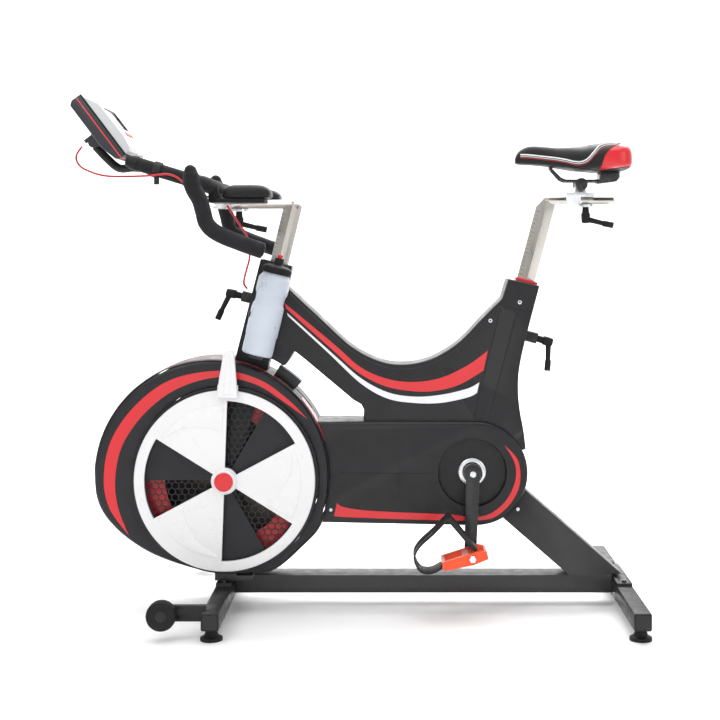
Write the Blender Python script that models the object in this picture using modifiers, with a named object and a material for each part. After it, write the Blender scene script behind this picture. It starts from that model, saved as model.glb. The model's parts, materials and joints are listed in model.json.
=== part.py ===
"""Indoor exercise bike with an air and magnet braked flywheel.

Frame: metres, +Z up, origin on the floor at the middle of the base.
The bike faces -X, its left side is -Y.  Run with: blender --background --python part.py
"""
from math import atan2, cos, hypot, pi, radians, sin

import bmesh
import bpy
from mathutils import Matrix, Vector

# ---------------------------------------------------------------- driving dimensions
GAP = 0.0003                 # air left between two touching pieces

# base
BASE_WIDTH = 0.66            # length of each stabiliser, along Y
STAB_SIZE = 0.038
STAB_BOTTOM = 0.025
FRONT_STAB_X = -0.289
REAR_STAB_X = 0.6135
BEAM_HALF_WIDTH = 0.034
BRACKET_HALF_LENGTH = 0.10
BRACKET_THICKNESS = 0.007
BEAM_BOTTOM = STAB_BOTTOM + 0.008
BEAM_TOP = STAB_BOTTOM + STAB_SIZE + BRACKET_THICKNESS + 0.003
FOOT_INSET = 0.03
FOOT_RADIUS = 0.024
FOOT_STEM_RADIUS = 0.006
WHEEL_RADIUS = 0.0315
WHEEL_X = -0.392
WHEEL_Z = 0.055
WHEEL_WIDTH = 0.025
WHEEL_AXLE_RADIUS = 0.008
STRUT_LEAN = radians(41.0)
STRUT_ABOVE = 0.047          # strut's upper face above the line through the crank axis
STRUT_BELOW = 0.0346
STRUT_START = 0.060

# drive
CRANK_X = 0.273
CRANK_Z = 0.3126
CRANK_LENGTH = 0.170
CRANK_LEAN = radians(2.0)    # the left crank points down, leaning forward
AXLE_RADIUS = 0.015
AXLE_HALF_LENGTH = 0.074
CHAINRING_RADIUS = 0.085
JACK_X = 0.045
JACK_Z = 0.312
JACK_SMALL_RADIUS = 0.0283
JACK_LARGE_RADIUS = 0.0728
JACK_SHAFT_RADIUS = 0.0085
FLY_X = -0.286
FLY_Z = 0.301
FLY_SPROCKET_RADIUS = 0.0243
FLY_AXLE_RADIUS = 0.010
FLY_RADIUS = 0.188
FIRST_CHAIN_Y = 0.039        # middle plane of the first chain
SECOND_CHAIN_Y = 0.027
CHAIN_THICKNESS = 0.0070
CHAIN_WIDTH = 0.005

# covers
WALL = 0.003
BODY_HALF_WIDTH = 0.048
DRIVE_HALF_WIDTH = 0.062
DRUM_HALF_WIDTH = 0.085
DRUM_X = -0.318
DRUM_Z = 0.305
DRUM_RADIUS = 0.267
DRUM_OPENING = 0.2105
FORK_THICKNESS = 0.005
FORK_INNER_Y = DRUM_HALF_WIDTH - 0.0115
FLY_AXLE_END_Y = FORK_INNER_Y + FORK_THICKNESS - GAP
DRIVE_END_X = 0.281
DRIVE_END_Z = 0.310
DRIVE_END_RADIUS = 0.1185
RECESS_RADIUS = 0.077
RECESS_Y = 0.047
GRILLE_THICKNESS = 0.004
GRILLE_Y = DRUM_HALF_WIDTH + 0.0085    # outer face of the grilles
DISC_RADIUS = 0.2036
DISC_WINDOW_RADIUS = 0.180
DISC_HUB_RADIUS = 0.027
DISC_INNER_Y = GRILLE_Y + 0.0065
DISC_OUTER_Y = DISC_INNER_Y + 0.008
HUB_Y = DISC_OUTER_Y + 0.012           # outer face of the damper's hub
DISC_LEVER_LENGTH = 0.297
DISC_LEVER_LEAN = radians(2.3)

# masts
HEAD_LEAN = radians(13.5)
HEAD_TOP_X = -0.1714
HEAD_TOP_Z = 0.790
HEAD_LENGTH = 0.199
HEAD_HALF_WIDTH = 0.031
HEAD_FRONT = 0.0415
HEAD_REAR = 0.033
SEAT_LEAN = radians(15.0)
SEAT_TOP_X = 0.3989
SEAT_TOP_Z = 0.745
SEAT_SLEEVE_LENGTH = 0.296
POST_HALF_DIAGONAL = 0.0213
POST_WALL = 0.002
SLEEVE_WALL = 0.005
HEAD_POST_INSERT = 0.135
SEAT_POST_INSERT = 0.160
BAR_RAIL_Z = 0.925
BAR_RAIL_HEIGHT = 0.0204
BAR_RAIL_FRONT_X = -0.3255
SEAT_RAIL_Z = 0.9332
SEAT_RAIL_HEIGHT = 0.016
SEAT_RAIL_REAR_X = 0.6025
SLOT_WIDTH = 0.0115
STUD_RADIUS = 0.005

# handlebar
BAR_RADIUS = 0.0172
BAR_HALF_WIDTH = 0.21
CROSSBAR_X = -0.305
CROSSBAR_Z = 0.9575
AERO_RADIUS = 0.0157
AERO_HALF_SPREAD = 0.090
STEM_RADIUS = 0.010
BAR_STUD_X = -0.2648
PAD_INNER_Y = 0.080
PAD_OUTER_Y = 0.170
PAD_BOTTOM = 0.9236

# monitor
MONITOR_X = -0.5669
MONITOR_Z = 1.0978
MONITOR_LEAN = radians(-37.0)
MONITOR_HALF_WIDTH = 0.095
MONITOR_PIVOT = (-0.046, -0.003)   # tilt axis, in the monitor's own x and z
BUTTON_SPACING = 0.028

# bottle
BOTTLE_X = -0.2170
BOTTLE_Y = -0.0720
BOTTLE_Z = 0.5816
BOTTLE_RADIUS = 0.0365
BOTTLE_HEIGHT = 0.191

# saddle
SADDLE_STUD_X = 0.5388
SADDLE_PIVOT_X = 0.526
SADDLE_PIVOT_Z = 0.971
SADDLE_RAIL_RADIUS = 0.0035
SADDLE_RAIL_Y = 0.0215

# pedal
PEDAL_INNER_Y = 0.104
PEDAL_OUTER_Y = 0.184
SPINDLE_RADIUS = 0.006
PEDAL_LEAN = radians(-14.0)

# cable
CABLE_RADIUS = 0.0024


# ---------------------------------------------------------------- scene and materials
def clear_scene():
    for obj in list(bpy.data.objects):
        bpy.data.objects.remove(obj, do_unlink=True)


def new_collection(name):
    collection = bpy.data.collections.new(name)
    bpy.context.scene.collection.children.link(collection)
    return collection


def new_material(name, colour, roughness, metallic=0.0):
    material = bpy.data.materials.new(name)
    material.use_nodes = True
    shader = material.node_tree.nodes["Principled BSDF"]
    shader.inputs["Base Color"].default_value = (*colour, 1.0)
    shader.inputs["Roughness"].default_value = roughness
    shader.inputs["Metallic"].default_value = metallic
    return material


clear_scene()
PARTS = new_collection("exercise_bike")
CUTTERS = new_collection("cutters")

FRAME_BLACK = new_material("frame_black", (0.018, 0.018, 0.020), 0.45)
COVER_BLACK = new_material("cover_black", (0.030, 0.030, 0.034), 0.38)
HOUSING_GREY = new_material("housing_grey", (0.055, 0.055, 0.060), 0.42)
GRILLE_BLACK = new_material("grille_black", (0.040, 0.040, 0.046), 0.50)
DISC_WHITE = new_material("disc_white", (0.85, 0.85, 0.86), 0.30)
RED = new_material("signal_red", (0.72, 0.020, 0.025), 0.35)
STEEL = new_material("brushed_steel", (0.60, 0.57, 0.54), 0.35, 1.0)
DARK_METAL = new_material("dark_metal", (0.050, 0.050, 0.050), 0.35, 1.0)
CHAIN_STEEL = new_material("chain_steel", (0.30, 0.28, 0.25), 0.40, 1.0)
FOAM = new_material("grip_foam", (0.035, 0.035, 0.038), 0.80)
RUBBER = new_material("black_rubber", (0.020, 0.020, 0.020), 0.75)
ORANGE = new_material("pedal_orange", (0.90, 0.13, 0.02), 0.40)
WEB_BLACK = new_material("strap_black", (0.020, 0.020, 0.022), 0.70)
BOTTLE_CLEAR = new_material("bottle_translucent", (0.72, 0.76, 0.84), 0.35)
MONITOR_GREY = new_material("monitor_grey", (0.12, 0.13, 0.15), 0.40)
MONITOR_SILVER = new_material("monitor_silver", (0.62, 0.63, 0.64), 0.35)
LIGHT_PLATE = new_material("zinc_plate", (0.75, 0.78, 0.80), 0.30, 0.8)
VINYL = new_material("saddle_vinyl", (0.025, 0.025, 0.028), 0.55)
CABLE_RED = new_material("cable_red", (0.55, 0.02, 0.03), 0.40)


# ---------------------------------------------------------------- modelling helpers
def add_mesh(name, mesh, material=None):
    obj = bpy.data.objects.new(name, mesh)
    PARTS.objects.link(obj)
    if material:
        mesh.materials.append(material)
    return obj


def from_bmesh(name, bm, material=None):
    bmesh.ops.recalc_face_normals(bm, faces=bm.faces)
    mesh = bpy.data.meshes.new(name)
    bm.to_mesh(mesh)
    bm.free()
    return add_mesh(name, mesh, material)


def box(name, x, y, z, material=None):
    """Block between two corners: x, y and z are (low, high) pairs."""
    bm = bmesh.new()
    bmesh.ops.create_cube(bm, size=1.0)
    size = Matrix.Diagonal((x[1] - x[0], y[1] - y[0], z[1] - z[0], 1.0))
    middle = Vector((x[0] + x[1], y[0] + y[1], z[0] + z[1])) / 2
    bmesh.ops.transform(bm, matrix=Matrix.Translation(middle) @ size, verts=bm.verts)
    return from_bmesh(name, bm, material)


def rod(name, start, end, radius, material=None, sides=16, end_radius=None):
    """Cylinder, or cone, from one point to another."""
    start, end = Vector(start), Vector(end)
    bm = bmesh.new()
    bmesh.ops.create_cone(
        bm, cap_ends=True, segments=sides, radius1=radius,
        radius2=radius if end_radius is None else end_radius, depth=(end - start).length,
    )
    turn = (end - start).to_track_quat("Z", "Y").to_matrix().to_4x4()
    bmesh.ops.transform(bm, matrix=Matrix.Translation((start + end) / 2) @ turn, verts=bm.verts)
    return from_bmesh(name, bm, material)


def solid_from_curve(name, curve_obj, turn, material=None):
    """Turn a filled curve into a welded mesh object and remove the curve."""
    graph = bpy.context.evaluated_depsgraph_get()
    mesh = bpy.data.meshes.new_from_object(curve_obj.evaluated_get(graph))
    bm = bmesh.new()
    bm.from_mesh(mesh)
    bmesh.ops.remove_doubles(bm, verts=bm.verts, dist=0.00001)
    bmesh.ops.transform(bm, matrix=turn, verts=bm.verts)
    bpy.data.objects.remove(curve_obj, do_unlink=True)
    bpy.data.meshes.remove(mesh)
    return from_bmesh(name, bm, material)


def prism(name, outline, y, material=None):
    """Flat outline of (x, z) points, extruded between the two y values."""
    curve = bpy.data.curves.new(name, "CURVE")
    curve.dimensions = "2D"
    curve.fill_mode = "BOTH"
    curve.extrude = (y[1] - y[0]) / 2
    spline = curve.splines.new("POLY")
    spline.points.add(len(outline) - 1)
    for point, (across, up) in zip(spline.points, outline):
        point.co = (across, up, 0.0, 1.0)
    spline.use_cyclic_u = True
    flat = bpy.data.objects.new(name + "_flat", curve)
    PARTS.objects.link(flat)
    upright = Matrix.Translation((0, (y[0] + y[1]) / 2, 0)) @ Matrix.Rotation(pi / 2, 4, "X")
    return solid_from_curve(name, flat, upright, material)


def bar_along_x(name, outline, x, material=None):
    """Section of (y, z) points, extruded between the two x values."""
    obj = prism(name, outline, (-x[1], -x[0]), material)
    obj.data.transform(Matrix.Rotation(pi / 2, 4, "Z"))
    return obj


def tube(name, points, radius, material=None, resolution=2):
    """Round tube along a line of points, as a mesh."""
    curve = bpy.data.curves.new(name, "CURVE")
    curve.dimensions = "3D"
    curve.bevel_depth = radius
    curve.bevel_resolution = resolution
    curve.use_fill_caps = True
    spline = curve.splines.new("POLY")
    spline.points.add(len(points) - 1)
    for knot, place in zip(spline.points, points):
        knot.co = (*place, 1.0)
    obj = bpy.data.objects.new(name + "_path", curve)
    PARTS.objects.link(obj)
    return solid_from_curve(name, obj, Matrix.Identity(4), material)


def turned(name, profile, steps, material=None):
    """Shape turned about Z from (radius, z) points, listed from the top down the outside."""
    bm = bmesh.new()
    closed = profile[0] == profile[-1]
    knots = [bm.verts.new((radius, 0.0, height)) for radius, height in profile[:-1 if closed else None]]
    if closed:
        knots.append(knots[0])
    for first, second in zip(knots, knots[1:]):
        if first.co.x > 0 or second.co.x > 0:
            bm.edges.new((first, second))
    mesh = bpy.data.meshes.new(name)
    bm.to_mesh(mesh)
    bm.free()
    obj = add_mesh(name, mesh, material)
    screw = obj.modifiers.new("turn", "SCREW")
    screw.steps = steps
    screw.render_steps = steps
    screw.use_merge_vertices = True
    screw.merge_threshold = 0.00001
    return obj


def ring_profile(inner, outer, low, high):
    """Closed section of a ring, ready for turned()."""
    return [(inner, high), (outer, high), (outer, low), (inner, low), (inner, high)]


def hide_as_cutter(obj):
    for collection in list(obj.users_collection):
        collection.objects.unlink(obj)
    CUTTERS.objects.link(obj)
    obj.hide_render = True
    obj.display_type = "WIRE"


def combine(target, other, operation):
    hide_as_cutter(other)
    modifier = target.modifiers.new(operation.lower(), "BOOLEAN")
    modifier.operation = operation
    modifier.solver = "EXACT"
    modifier.object = other
    return target


def join(target, *others):
    for other in others:
        combine(target, other, "UNION")
    return target


def cut(target, *cutters):
    for cutter in cutters:
        combine(target, cutter, "DIFFERENCE")
    return target


def bevel(obj, width, segments=2, angle=radians(50)):
    modifier = obj.modifiers.new("bevel", "BEVEL")
    modifier.width = width
    modifier.segments = segments
    modifier.limit_method = "ANGLE"
    modifier.angle_limit = angle
    return obj


def place(objects, origin, lean=0.0):
    """Put pieces modelled about their own axis at origin, turned about Y by lean."""
    for obj in objects:
        obj.location = origin
        if lean:
            obj.rotation_euler = (0.0, lean, 0.0)
    return objects[0]


def along_y(obj, side=-1):
    """Turn a shape made about Z so that its axis lies along Y, its top towards the given side."""
    obj.rotation_euler = (-side * pi / 2, 0.0, 0.0)
    return obj


def circle_points(x, z, radius, start, end, steps):
    """Arc of steps + 1 points, angles in degrees from +X towards +Z."""
    angles = [radians(start + (end - start) * i / steps) for i in range(steps + 1)]
    return [(x + radius * cos(a), z + radius * sin(a)) for a in angles]


def smooth_through(points, per_span=4):
    """Points of a Catmull-Rom curve that runs through the given points."""
    last = len(points) - 1
    result = []
    for i in range(last):
        before, here = Vector(points[max(i - 1, 0)]), Vector(points[i])
        there, after = Vector(points[i + 1]), Vector(points[min(i + 2, last)])
        for step in range(per_span):
            t = step / per_span
            result.append(tuple(
                0.5 * (2 * here + (there - before) * t
                       + (2 * before - 5 * here + 4 * there - after) * t ** 2
                       + (3 * here - before - 3 * there + after) * t ** 3)
            ))
    result.append(tuple(points[last]))
    return result


def even_path(points, spacing):
    """The same line with a point about every spacing metres."""
    steps = [Vector(p) for p in points]
    total = sum((b - a).length for a, b in zip(steps, steps[1:]))
    count = max(2, round(total / spacing))
    result, travelled, goal = [steps[0]], 0.0, total / count
    for a, b in zip(steps, steps[1:]):
        length = (b - a).length
        while goal <= travelled + length + 1e-9 and len(result) < count:
            result.append(a.lerp(b, (goal - travelled) / length))
            goal += total / count
        travelled += length
    result.append(steps[-1])
    return [tuple(p) for p in result]


def inset(outline, distance):
    """Closed outline moved inwards by distance, corner by corner."""
    turning = sum(a[0] * b[1] - b[0] * a[1] for a, b in zip(outline, outline[1:] + outline[:1]))
    side = distance if turning > 0 else -distance
    result = []
    count = len(outline)
    for i, (x, z) in enumerate(outline):
        before, after = outline[i - 1], outline[(i + 1) % count]
        first = Vector((x - before[0], z - before[1])).normalized()
        second = Vector((after[0] - x, after[1] - z)).normalized()
        normal_sum = Vector((-first.y - second.y, first.x + second.x))
        scale = side / max(0.35, 1 + first.dot(second))
        result.append((x + normal_sum.x * scale, z + normal_sum.y * scale))
    return result


def mirrored(y, side):
    """A (low, high) pair on the left (side -1) or on the right (side 1)."""
    return (y[0], y[1]) if side > 0 else (-y[1], -y[0])


SIDES = (("left", -1), ("right", 1))


# ---------------------------------------------------------------- base
def stabiliser(name, x):
    half = STAB_SIZE / 2
    top = STAB_BOTTOM + STAB_SIZE
    bar = box(name, (x - half, x + half), (-BASE_WIDTH / 2, BASE_WIDTH / 2), (STAB_BOTTOM, top),
              FRAME_BLACK)
    bevel(bar, 0.004, 2)
    plate = box("plate", (x - half + 0.002, x + half - 0.002),
                (-BRACKET_HALF_LENGTH, BRACKET_HALF_LENGTH), (top - 0.002, top + BRACKET_THICKNESS))
    join(bar, plate)
    for y in (-0.088, 0.088):
        join(bar, rod("bolt", (x, y, top), (x, y, top + BRACKET_THICKNESS + 0.005), 0.006, sides=6))
    for side in (-1, 1):
        y = side * (BASE_WIDTH / 2 - FOOT_INSET)
        cut(bar, rod("stem_hole", (x, y, STAB_BOTTOM - 0.01), (x, y, STAB_BOTTOM + 0.028),
                     FOOT_STEM_RADIUS + 0.0005, sides=12))
    return bar


def wheel_arms(bar):
    inner = BASE_WIDTH / 2 - WHEEL_WIDTH - 0.019
    for side in (-1, 1):
        arm_y = mirrored((inner, inner + 0.012), side)
        join(bar, box("arm", (WHEEL_X - 0.012, FRONT_STAB_X - 0.012), arm_y,
                      (WHEEL_Z - 0.017, WHEEL_Z + 0.017)))
        join(bar, rod("axle", (WHEEL_X, side * (inner + 0.004), WHEEL_Z),
                      (WHEEL_X, side * (BASE_WIDTH / 2 - 0.001), WHEEL_Z), WHEEL_AXLE_RADIUS, sides=16))


def transport_wheel(name, side):
    half = WHEEL_WIDTH / 2
    hole = WHEEL_AXLE_RADIUS + GAP
    profile = [(hole, half), (WHEEL_RADIUS - 0.003, half), (WHEEL_RADIUS, half - 0.003),
               (WHEEL_RADIUS, -half + 0.003), (WHEEL_RADIUS - 0.003, -half), (hole, -half), (hole, half)]
    wheel = along_y(turned(name, profile, 24, RUBBER))
    wheel.location = (WHEEL_X, side * (BASE_WIDTH / 2 - half - 0.003), WHEEL_Z)


def levelling_foot(name, x, y):
    top = STAB_BOTTOM
    profile = [(0.0, top + 0.022), (FOOT_STEM_RADIUS, top + 0.022), (FOOT_STEM_RADIUS, top - 0.0005),
               (0.013, top - 0.0005), (0.013, top - 0.007), (0.016, 0.010), (FOOT_RADIUS, 0.007),
               (FOOT_RADIUS, 0.0), (0.0, 0.0)]
    foot = turned(name, profile, 16, RUBBER)
    foot.location = (x, y, 0.0)


def strut_frame(along, above):
    """World (x, z) of a point in the strut's own directions, measured from the crank axis."""
    return (CRANK_X + along * cos(STRUT_LEAN) + above * sin(STRUT_LEAN),
            CRANK_Z - along * sin(STRUT_LEAN) + above * cos(STRUT_LEAN))


def strut_foot(above, height):
    """Point at which a face of the strut comes down to the given height."""
    along = (CRANK_Z + above * cos(STRUT_LEAN) - height) / sin(STRUT_LEAN)
    return strut_frame(along, above)


def strut_outline(margin=0.0):
    floor = STAB_BOTTOM + STAB_SIZE + BRACKET_THICKNESS + 0.006
    return [strut_frame(STRUT_START, -STRUT_BELOW - margin),
            strut_foot(-STRUT_BELOW - margin, BEAM_TOP - 0.003),
            (REAR_STAB_X - 0.021, BEAM_TOP - 0.003), (REAR_STAB_X - 0.021, floor),
            strut_foot(STRUT_ABOVE + margin, floor), strut_frame(STRUT_START, STRUT_ABOVE + margin)]


def fork_outline():
    return [(FLY_X - 0.025, BEAM_TOP + 0.009), (FLY_X - 0.025, FLY_Z), (FLY_X - 0.005, FLY_Z + 0.12),
            (FLY_X + 0.026, 0.540), (FLY_X + 0.082, 0.540), (FLY_X + 0.045, FLY_Z + 0.08),
            (FLY_X + 0.025, FLY_Z), (FLY_X + 0.025, BEAM_TOP + 0.009)]


def base_frame():
    rear_face = REAR_STAB_X - STAB_SIZE / 2 - GAP
    front_face = FRONT_STAB_X + STAB_SIZE / 2 + GAP
    beam = box("base_frame", (front_face, rear_face), (-BEAM_HALF_WIDTH, BEAM_HALF_WIDTH),
               (BEAM_BOTTOM, BEAM_TOP), FRAME_BLACK)
    join(beam, prism("strut", strut_outline(), (-BEAM_HALF_WIDTH + 0.001, BEAM_HALF_WIDTH - 0.001)))
    outer = FORK_INNER_Y + FORK_THICKNESS
    foot_bottom = BEAM_TOP - 0.0015
    join(beam, box("fork_foot", (FLY_X - 0.0249, FLY_X + 0.060), (-outer, outer),
                   (foot_bottom, BEAM_TOP + 0.0095)))
    for side in (-1, 1):
        join(beam, prism("fork_plate", fork_outline(), mirrored((FORK_INNER_Y, outer - 0.0001), side)))
    join(beam, box("crown", (FLY_X + 0.031, FLY_X + 0.077), (-outer + 0.001, outer - 0.001),
                   (0.527, 0.5395)))
    cut(beam, rod("axle_hole", (FLY_X, -0.1, FLY_Z), (FLY_X, 0.1, FLY_Z), FLY_AXLE_RADIUS + GAP, sides=20))
    return beam


# ---------------------------------------------------------------- welded spine
def diamond(name, half_diagonal, low, high, material=None):
    """Square bar along Z with one edge towards the front and one towards each side."""
    return rod(name, (0, 0, low), (0, 0, high), half_diagonal, material, sides=4)


def sleeve(lean, origin, length, bottom_wall, top):
    """Round sleeve with a square bore for a mast; returns the sleeve and its bore."""
    inner = POST_HALF_DIAGONAL + 2 * GAP
    outer = rod("sleeve", (0, 0, -length), (0, 0, top), inner + SLEEVE_WALL, sides=11)
    bore = diamond("sleeve_bore", inner, -length + bottom_wall, 0.01)
    place([outer, bore], origin, lean)
    return outer, bore


def clamp_boss(lean, origin, along, reach):
    boss = rod("clamp_boss", (0, 0, 0), (reach, 0, 0), 0.013, sides=16)
    boss.data.transform(Matrix.Translation((0, 0, along)) @ Matrix.Rotation(radians(7), 4, "X"))
    place([boss], origin, lean)
    return boss


HEAD_TOP = (HEAD_TOP_X, 0.0, HEAD_TOP_Z)
SEAT_TOP = (SEAT_TOP_X, 0.0, SEAT_TOP_Z)
HEAD_CLAMP_ALONG = -0.0955
SEAT_CLAMP_ALONG = -0.1195
HEAD_BOSS_END = -0.0665
SEAT_BOSS_END = 0.0600


def main_frame():
    down_start, down_end, half = (-0.186, 0.676), (0.278, 0.334), 0.024
    slope = atan2(down_end[1] - down_start[1], down_end[0] - down_start[0])
    offset = (-half * sin(slope), half * cos(slope))
    down_tube = [(down_start[0] + offset[0], down_start[1] + offset[1]),
                 (down_start[0] - offset[0], down_start[1] - offset[1]),
                 (down_end[0] - offset[0], down_end[1] - offset[1]),
                 (down_end[0] + offset[0], down_end[1] + offset[1])]
    frame = prism("main_frame", down_tube, (-0.019, 0.019), FRAME_BLACK)
    head_sleeve, head_bore = sleeve(HEAD_LEAN, HEAD_TOP, HEAD_LENGTH + 0.005, 0.010, -0.002)
    seat_sleeve, seat_bore = sleeve(SEAT_LEAN, SEAT_TOP, SEAT_SLEEVE_LENGTH, 0.008, -0.0165)
    join(frame, head_sleeve, seat_sleeve)
    seat_tube = box("seat_tube", (-0.018, 0.018), (-0.018, 0.018), (-0.452, -SEAT_SLEEVE_LENGTH + 0.004))
    place([seat_tube], SEAT_TOP, SEAT_LEAN)
    join(frame, seat_tube)
    join(frame, box("stem", (FLY_X + 0.050, FLY_X + 0.080), (-0.0175, 0.0175), (0.540 + GAP, 0.612)))
    join(frame, clamp_boss(HEAD_LEAN, HEAD_TOP, HEAD_CLAMP_ALONG, HEAD_BOSS_END))
    join(frame, clamp_boss(SEAT_LEAN, SEAT_TOP, SEAT_CLAMP_ALONG, SEAT_BOSS_END))
    join(frame, axle_y("bottom_bracket", CRANK_X, CRANK_Z, 0.0275, (-0.0325, 0.0325), None, 22))
    lug = [strut_frame(0.0, -0.026), strut_frame(STRUT_START - GAP, -0.026),
           strut_frame(STRUT_START - GAP, 0.036), strut_frame(0.0, 0.036)]
    join(frame, prism("lug", lug, (-0.0322, 0.0322)))
    join(frame, box("jack_arm", (JACK_X, CRANK_X - 0.01), (-0.012, 0.012),
                    (JACK_Z - 0.011, JACK_Z + 0.011)))
    join(frame, rod("jack_boss", (JACK_X, -0.0122, JACK_Z), (JACK_X, 0.0122, JACK_Z), 0.018, sides=20))
    cut(frame, head_bore, seat_bore)
    cut(frame, rod("axle_bore", (CRANK_X, -0.05, CRANK_Z), (CRANK_X, 0.05, CRANK_Z), AXLE_RADIUS + GAP,
                   sides=24))
    cut(frame, rod("jack_bore", (JACK_X, -0.05, JACK_Z), (JACK_X, 0.05, JACK_Z), JACK_SHAFT_RADIUS + GAP,
                   sides=20))
    return frame


# ---------------------------------------------------------------- covers
def drum_outline(growth=0.0):
    """Egg-shaped outline of the flywheel housing, a little larger by growth."""
    points = circle_points(DRUM_X, DRUM_Z, DRUM_RADIUS + growth, -8.5, 176, 23)
    tail = [points[-1], (-0.5809, 0.268), (-0.5658, 0.2267), (-0.536, 0.1894), (-0.4947, 0.1556),
            (-0.4461, 0.1280), (-0.3786, 0.1035), (-0.3038, 0.0860), (-0.2250, 0.0845), (-0.1726, 0.0970),
            (-0.1164, 0.1442), (-0.0710, 0.1950), points[0]]
    tail = [tail[0]] + inset_points(tail[1:-1], growth) + [tail[-1]]
    return points + tail[1:-1]


def inset_points(points, growth):
    """Move points away from the middle of the drum by growth."""
    result = []
    for x, z in points:
        dx, dz = x - DRUM_X, z - DRUM_Z
        scale = 1 + growth / hypot(dx, dz)
        result.append((DRUM_X + dx * scale, DRUM_Z + dz * scale))
    return result


def drive_outline(growth=0.0):
    radius = DRIVE_END_RADIUS + growth
    end = circle_points(DRIVE_END_X, DRIVE_END_Z, radius, -90, 90, 14)
    return end + [(-0.12, DRIVE_END_Z + radius), (-0.12, DRIVE_END_Z - radius + 0.008)]


def body_outline():
    head_rear_top = (HEAD_TOP_X + HEAD_REAR / cos(HEAD_LEAN) - 0.0545 * sin(HEAD_LEAN) / cos(HEAD_LEAN),
                     0.7355)
    top_edge = smooth_through([
        head_rear_top, (-0.075, 0.6645), (-0.0029, 0.5990), (0.0625, 0.5655),
        (0.1196, 0.5582), (0.1808, 0.5712), (0.2421, 0.6080), (0.2951, 0.6621), (0.3419, 0.7088),
    ], 2)
    seat_top = [(0.3560, 0.7536), (0.4276, 0.7374)]
    rear_edge = smooth_through([
        (0.4276, 0.7374), (0.4032, 0.6455), (0.3880, 0.5850), (0.3795, 0.5350), (0.3787, 0.4906),
        (0.3829, 0.4497), (0.3911, 0.4049), (0.3960, 0.3640),
    ], 1)[1:]
    lower_edge = [(0.300, 0.330), (0.060, 0.330), (0.0246, 0.4300), (0.0257, 0.4538), (0.0198, 0.4662),
                  (0.0017, 0.4767), (-0.1128, 0.5726), (-0.1334, 0.5884), (-0.1450, 0.5680),
                  (-0.1540, 0.5560),
                  (-0.1945, 0.5560)]
    return top_edge + seat_top + rear_edge + lower_edge


def half_shell(name, outline, half_width, side, material, wall=WALL):
    """One half of a hollow cover, open towards the middle plane."""
    shell = prism(name, outline, mirrored((GAP / 2, half_width), side), material)
    inner = prism(name + "_hollow", inset(outline, wall), mirrored((-0.01, half_width - wall), side))
    return cut(shell, inner)


def head_cover():
    """Box-shaped cover round the head sleeve, open at the top, standing on the drum."""
    low = -0.262
    outline = [(-HEAD_FRONT - 0.004, low), (HEAD_REAR - GAP, low), (HEAD_REAR - GAP, -0.001),
               (-HEAD_FRONT, -0.001)]
    cover = prism("head_cover", outline, (-HEAD_HALF_WIDTH, HEAD_HALF_WIDTH), COVER_BLACK)
    hollow = box("head_hollow", (-HEAD_FRONT + WALL, HEAD_REAR - WALL),
                 (-HEAD_HALF_WIDTH + WALL, HEAD_HALF_WIDTH - WALL),
                 (low - 0.02, 0.02))
    place([cover, hollow], HEAD_TOP, HEAD_LEAN)
    cut(cover, hollow, prism("drum_clearance", drum_outline(GAP), (-0.1, 0.1)))
    boss_hole = rod("boss_hole", (-0.08, 0, HEAD_CLAMP_ALONG), (0.0, 0, HEAD_CLAMP_ALONG), 0.013 + GAP,
                    sides=18)
    place([boss_hole], HEAD_TOP, HEAD_LEAN)
    window = box("down_tube_window", (-0.02, 0.06), (-0.0205, 0.0205), (-0.185, -0.075))
    place([window], HEAD_TOP, HEAD_LEAN)
    return cut(cover, boss_hole, window)


def body_cover(name, side):
    shell = half_shell(name, body_outline(), BODY_HALF_WIDTH, side, COVER_BLACK)
    cut(shell, prism("drive_clearance", drive_outline(GAP), (-0.1, 0.1)))
    head = box("head_clearance", (-0.10, HEAD_REAR), (-0.1, 0.1), (-0.30, 0.02))
    mast = box("mast_opening", (-0.026, 0.026), (-0.026, 0.026), (-0.012, 0.04))
    boss = rod("seat_boss_hole", (0.0, 0, SEAT_CLAMP_ALONG), (0.08, 0, SEAT_CLAMP_ALONG), 0.013 + GAP,
               sides=18)
    tube_window = box("front_window", (0.0, 0.06), (-0.0205, 0.0205), (-0.185, -0.075))
    place([head, tube_window], HEAD_TOP, HEAD_LEAN)
    place([mast, boss], SEAT_TOP, SEAT_LEAN)
    cut(shell, head, mast, boss, tube_window)
    return cut(shell, prism("drum_clearance", drum_outline(0.030), (-0.1, 0.1)))


def seat_collar():
    """Guide ring for the seat post, sunk in the top of the body covers."""
    collar = box("seat_collar", (-0.0257, 0.0257), (-0.0257, 0.0257), (-0.0015, 0.006), RED)
    bore = diamond("collar_bore", POST_HALF_DIAGONAL + 2 * GAP, -0.02, 0.02)
    place([collar, bore], SEAT_TOP, SEAT_LEAN)
    return cut(collar, bore)


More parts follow.
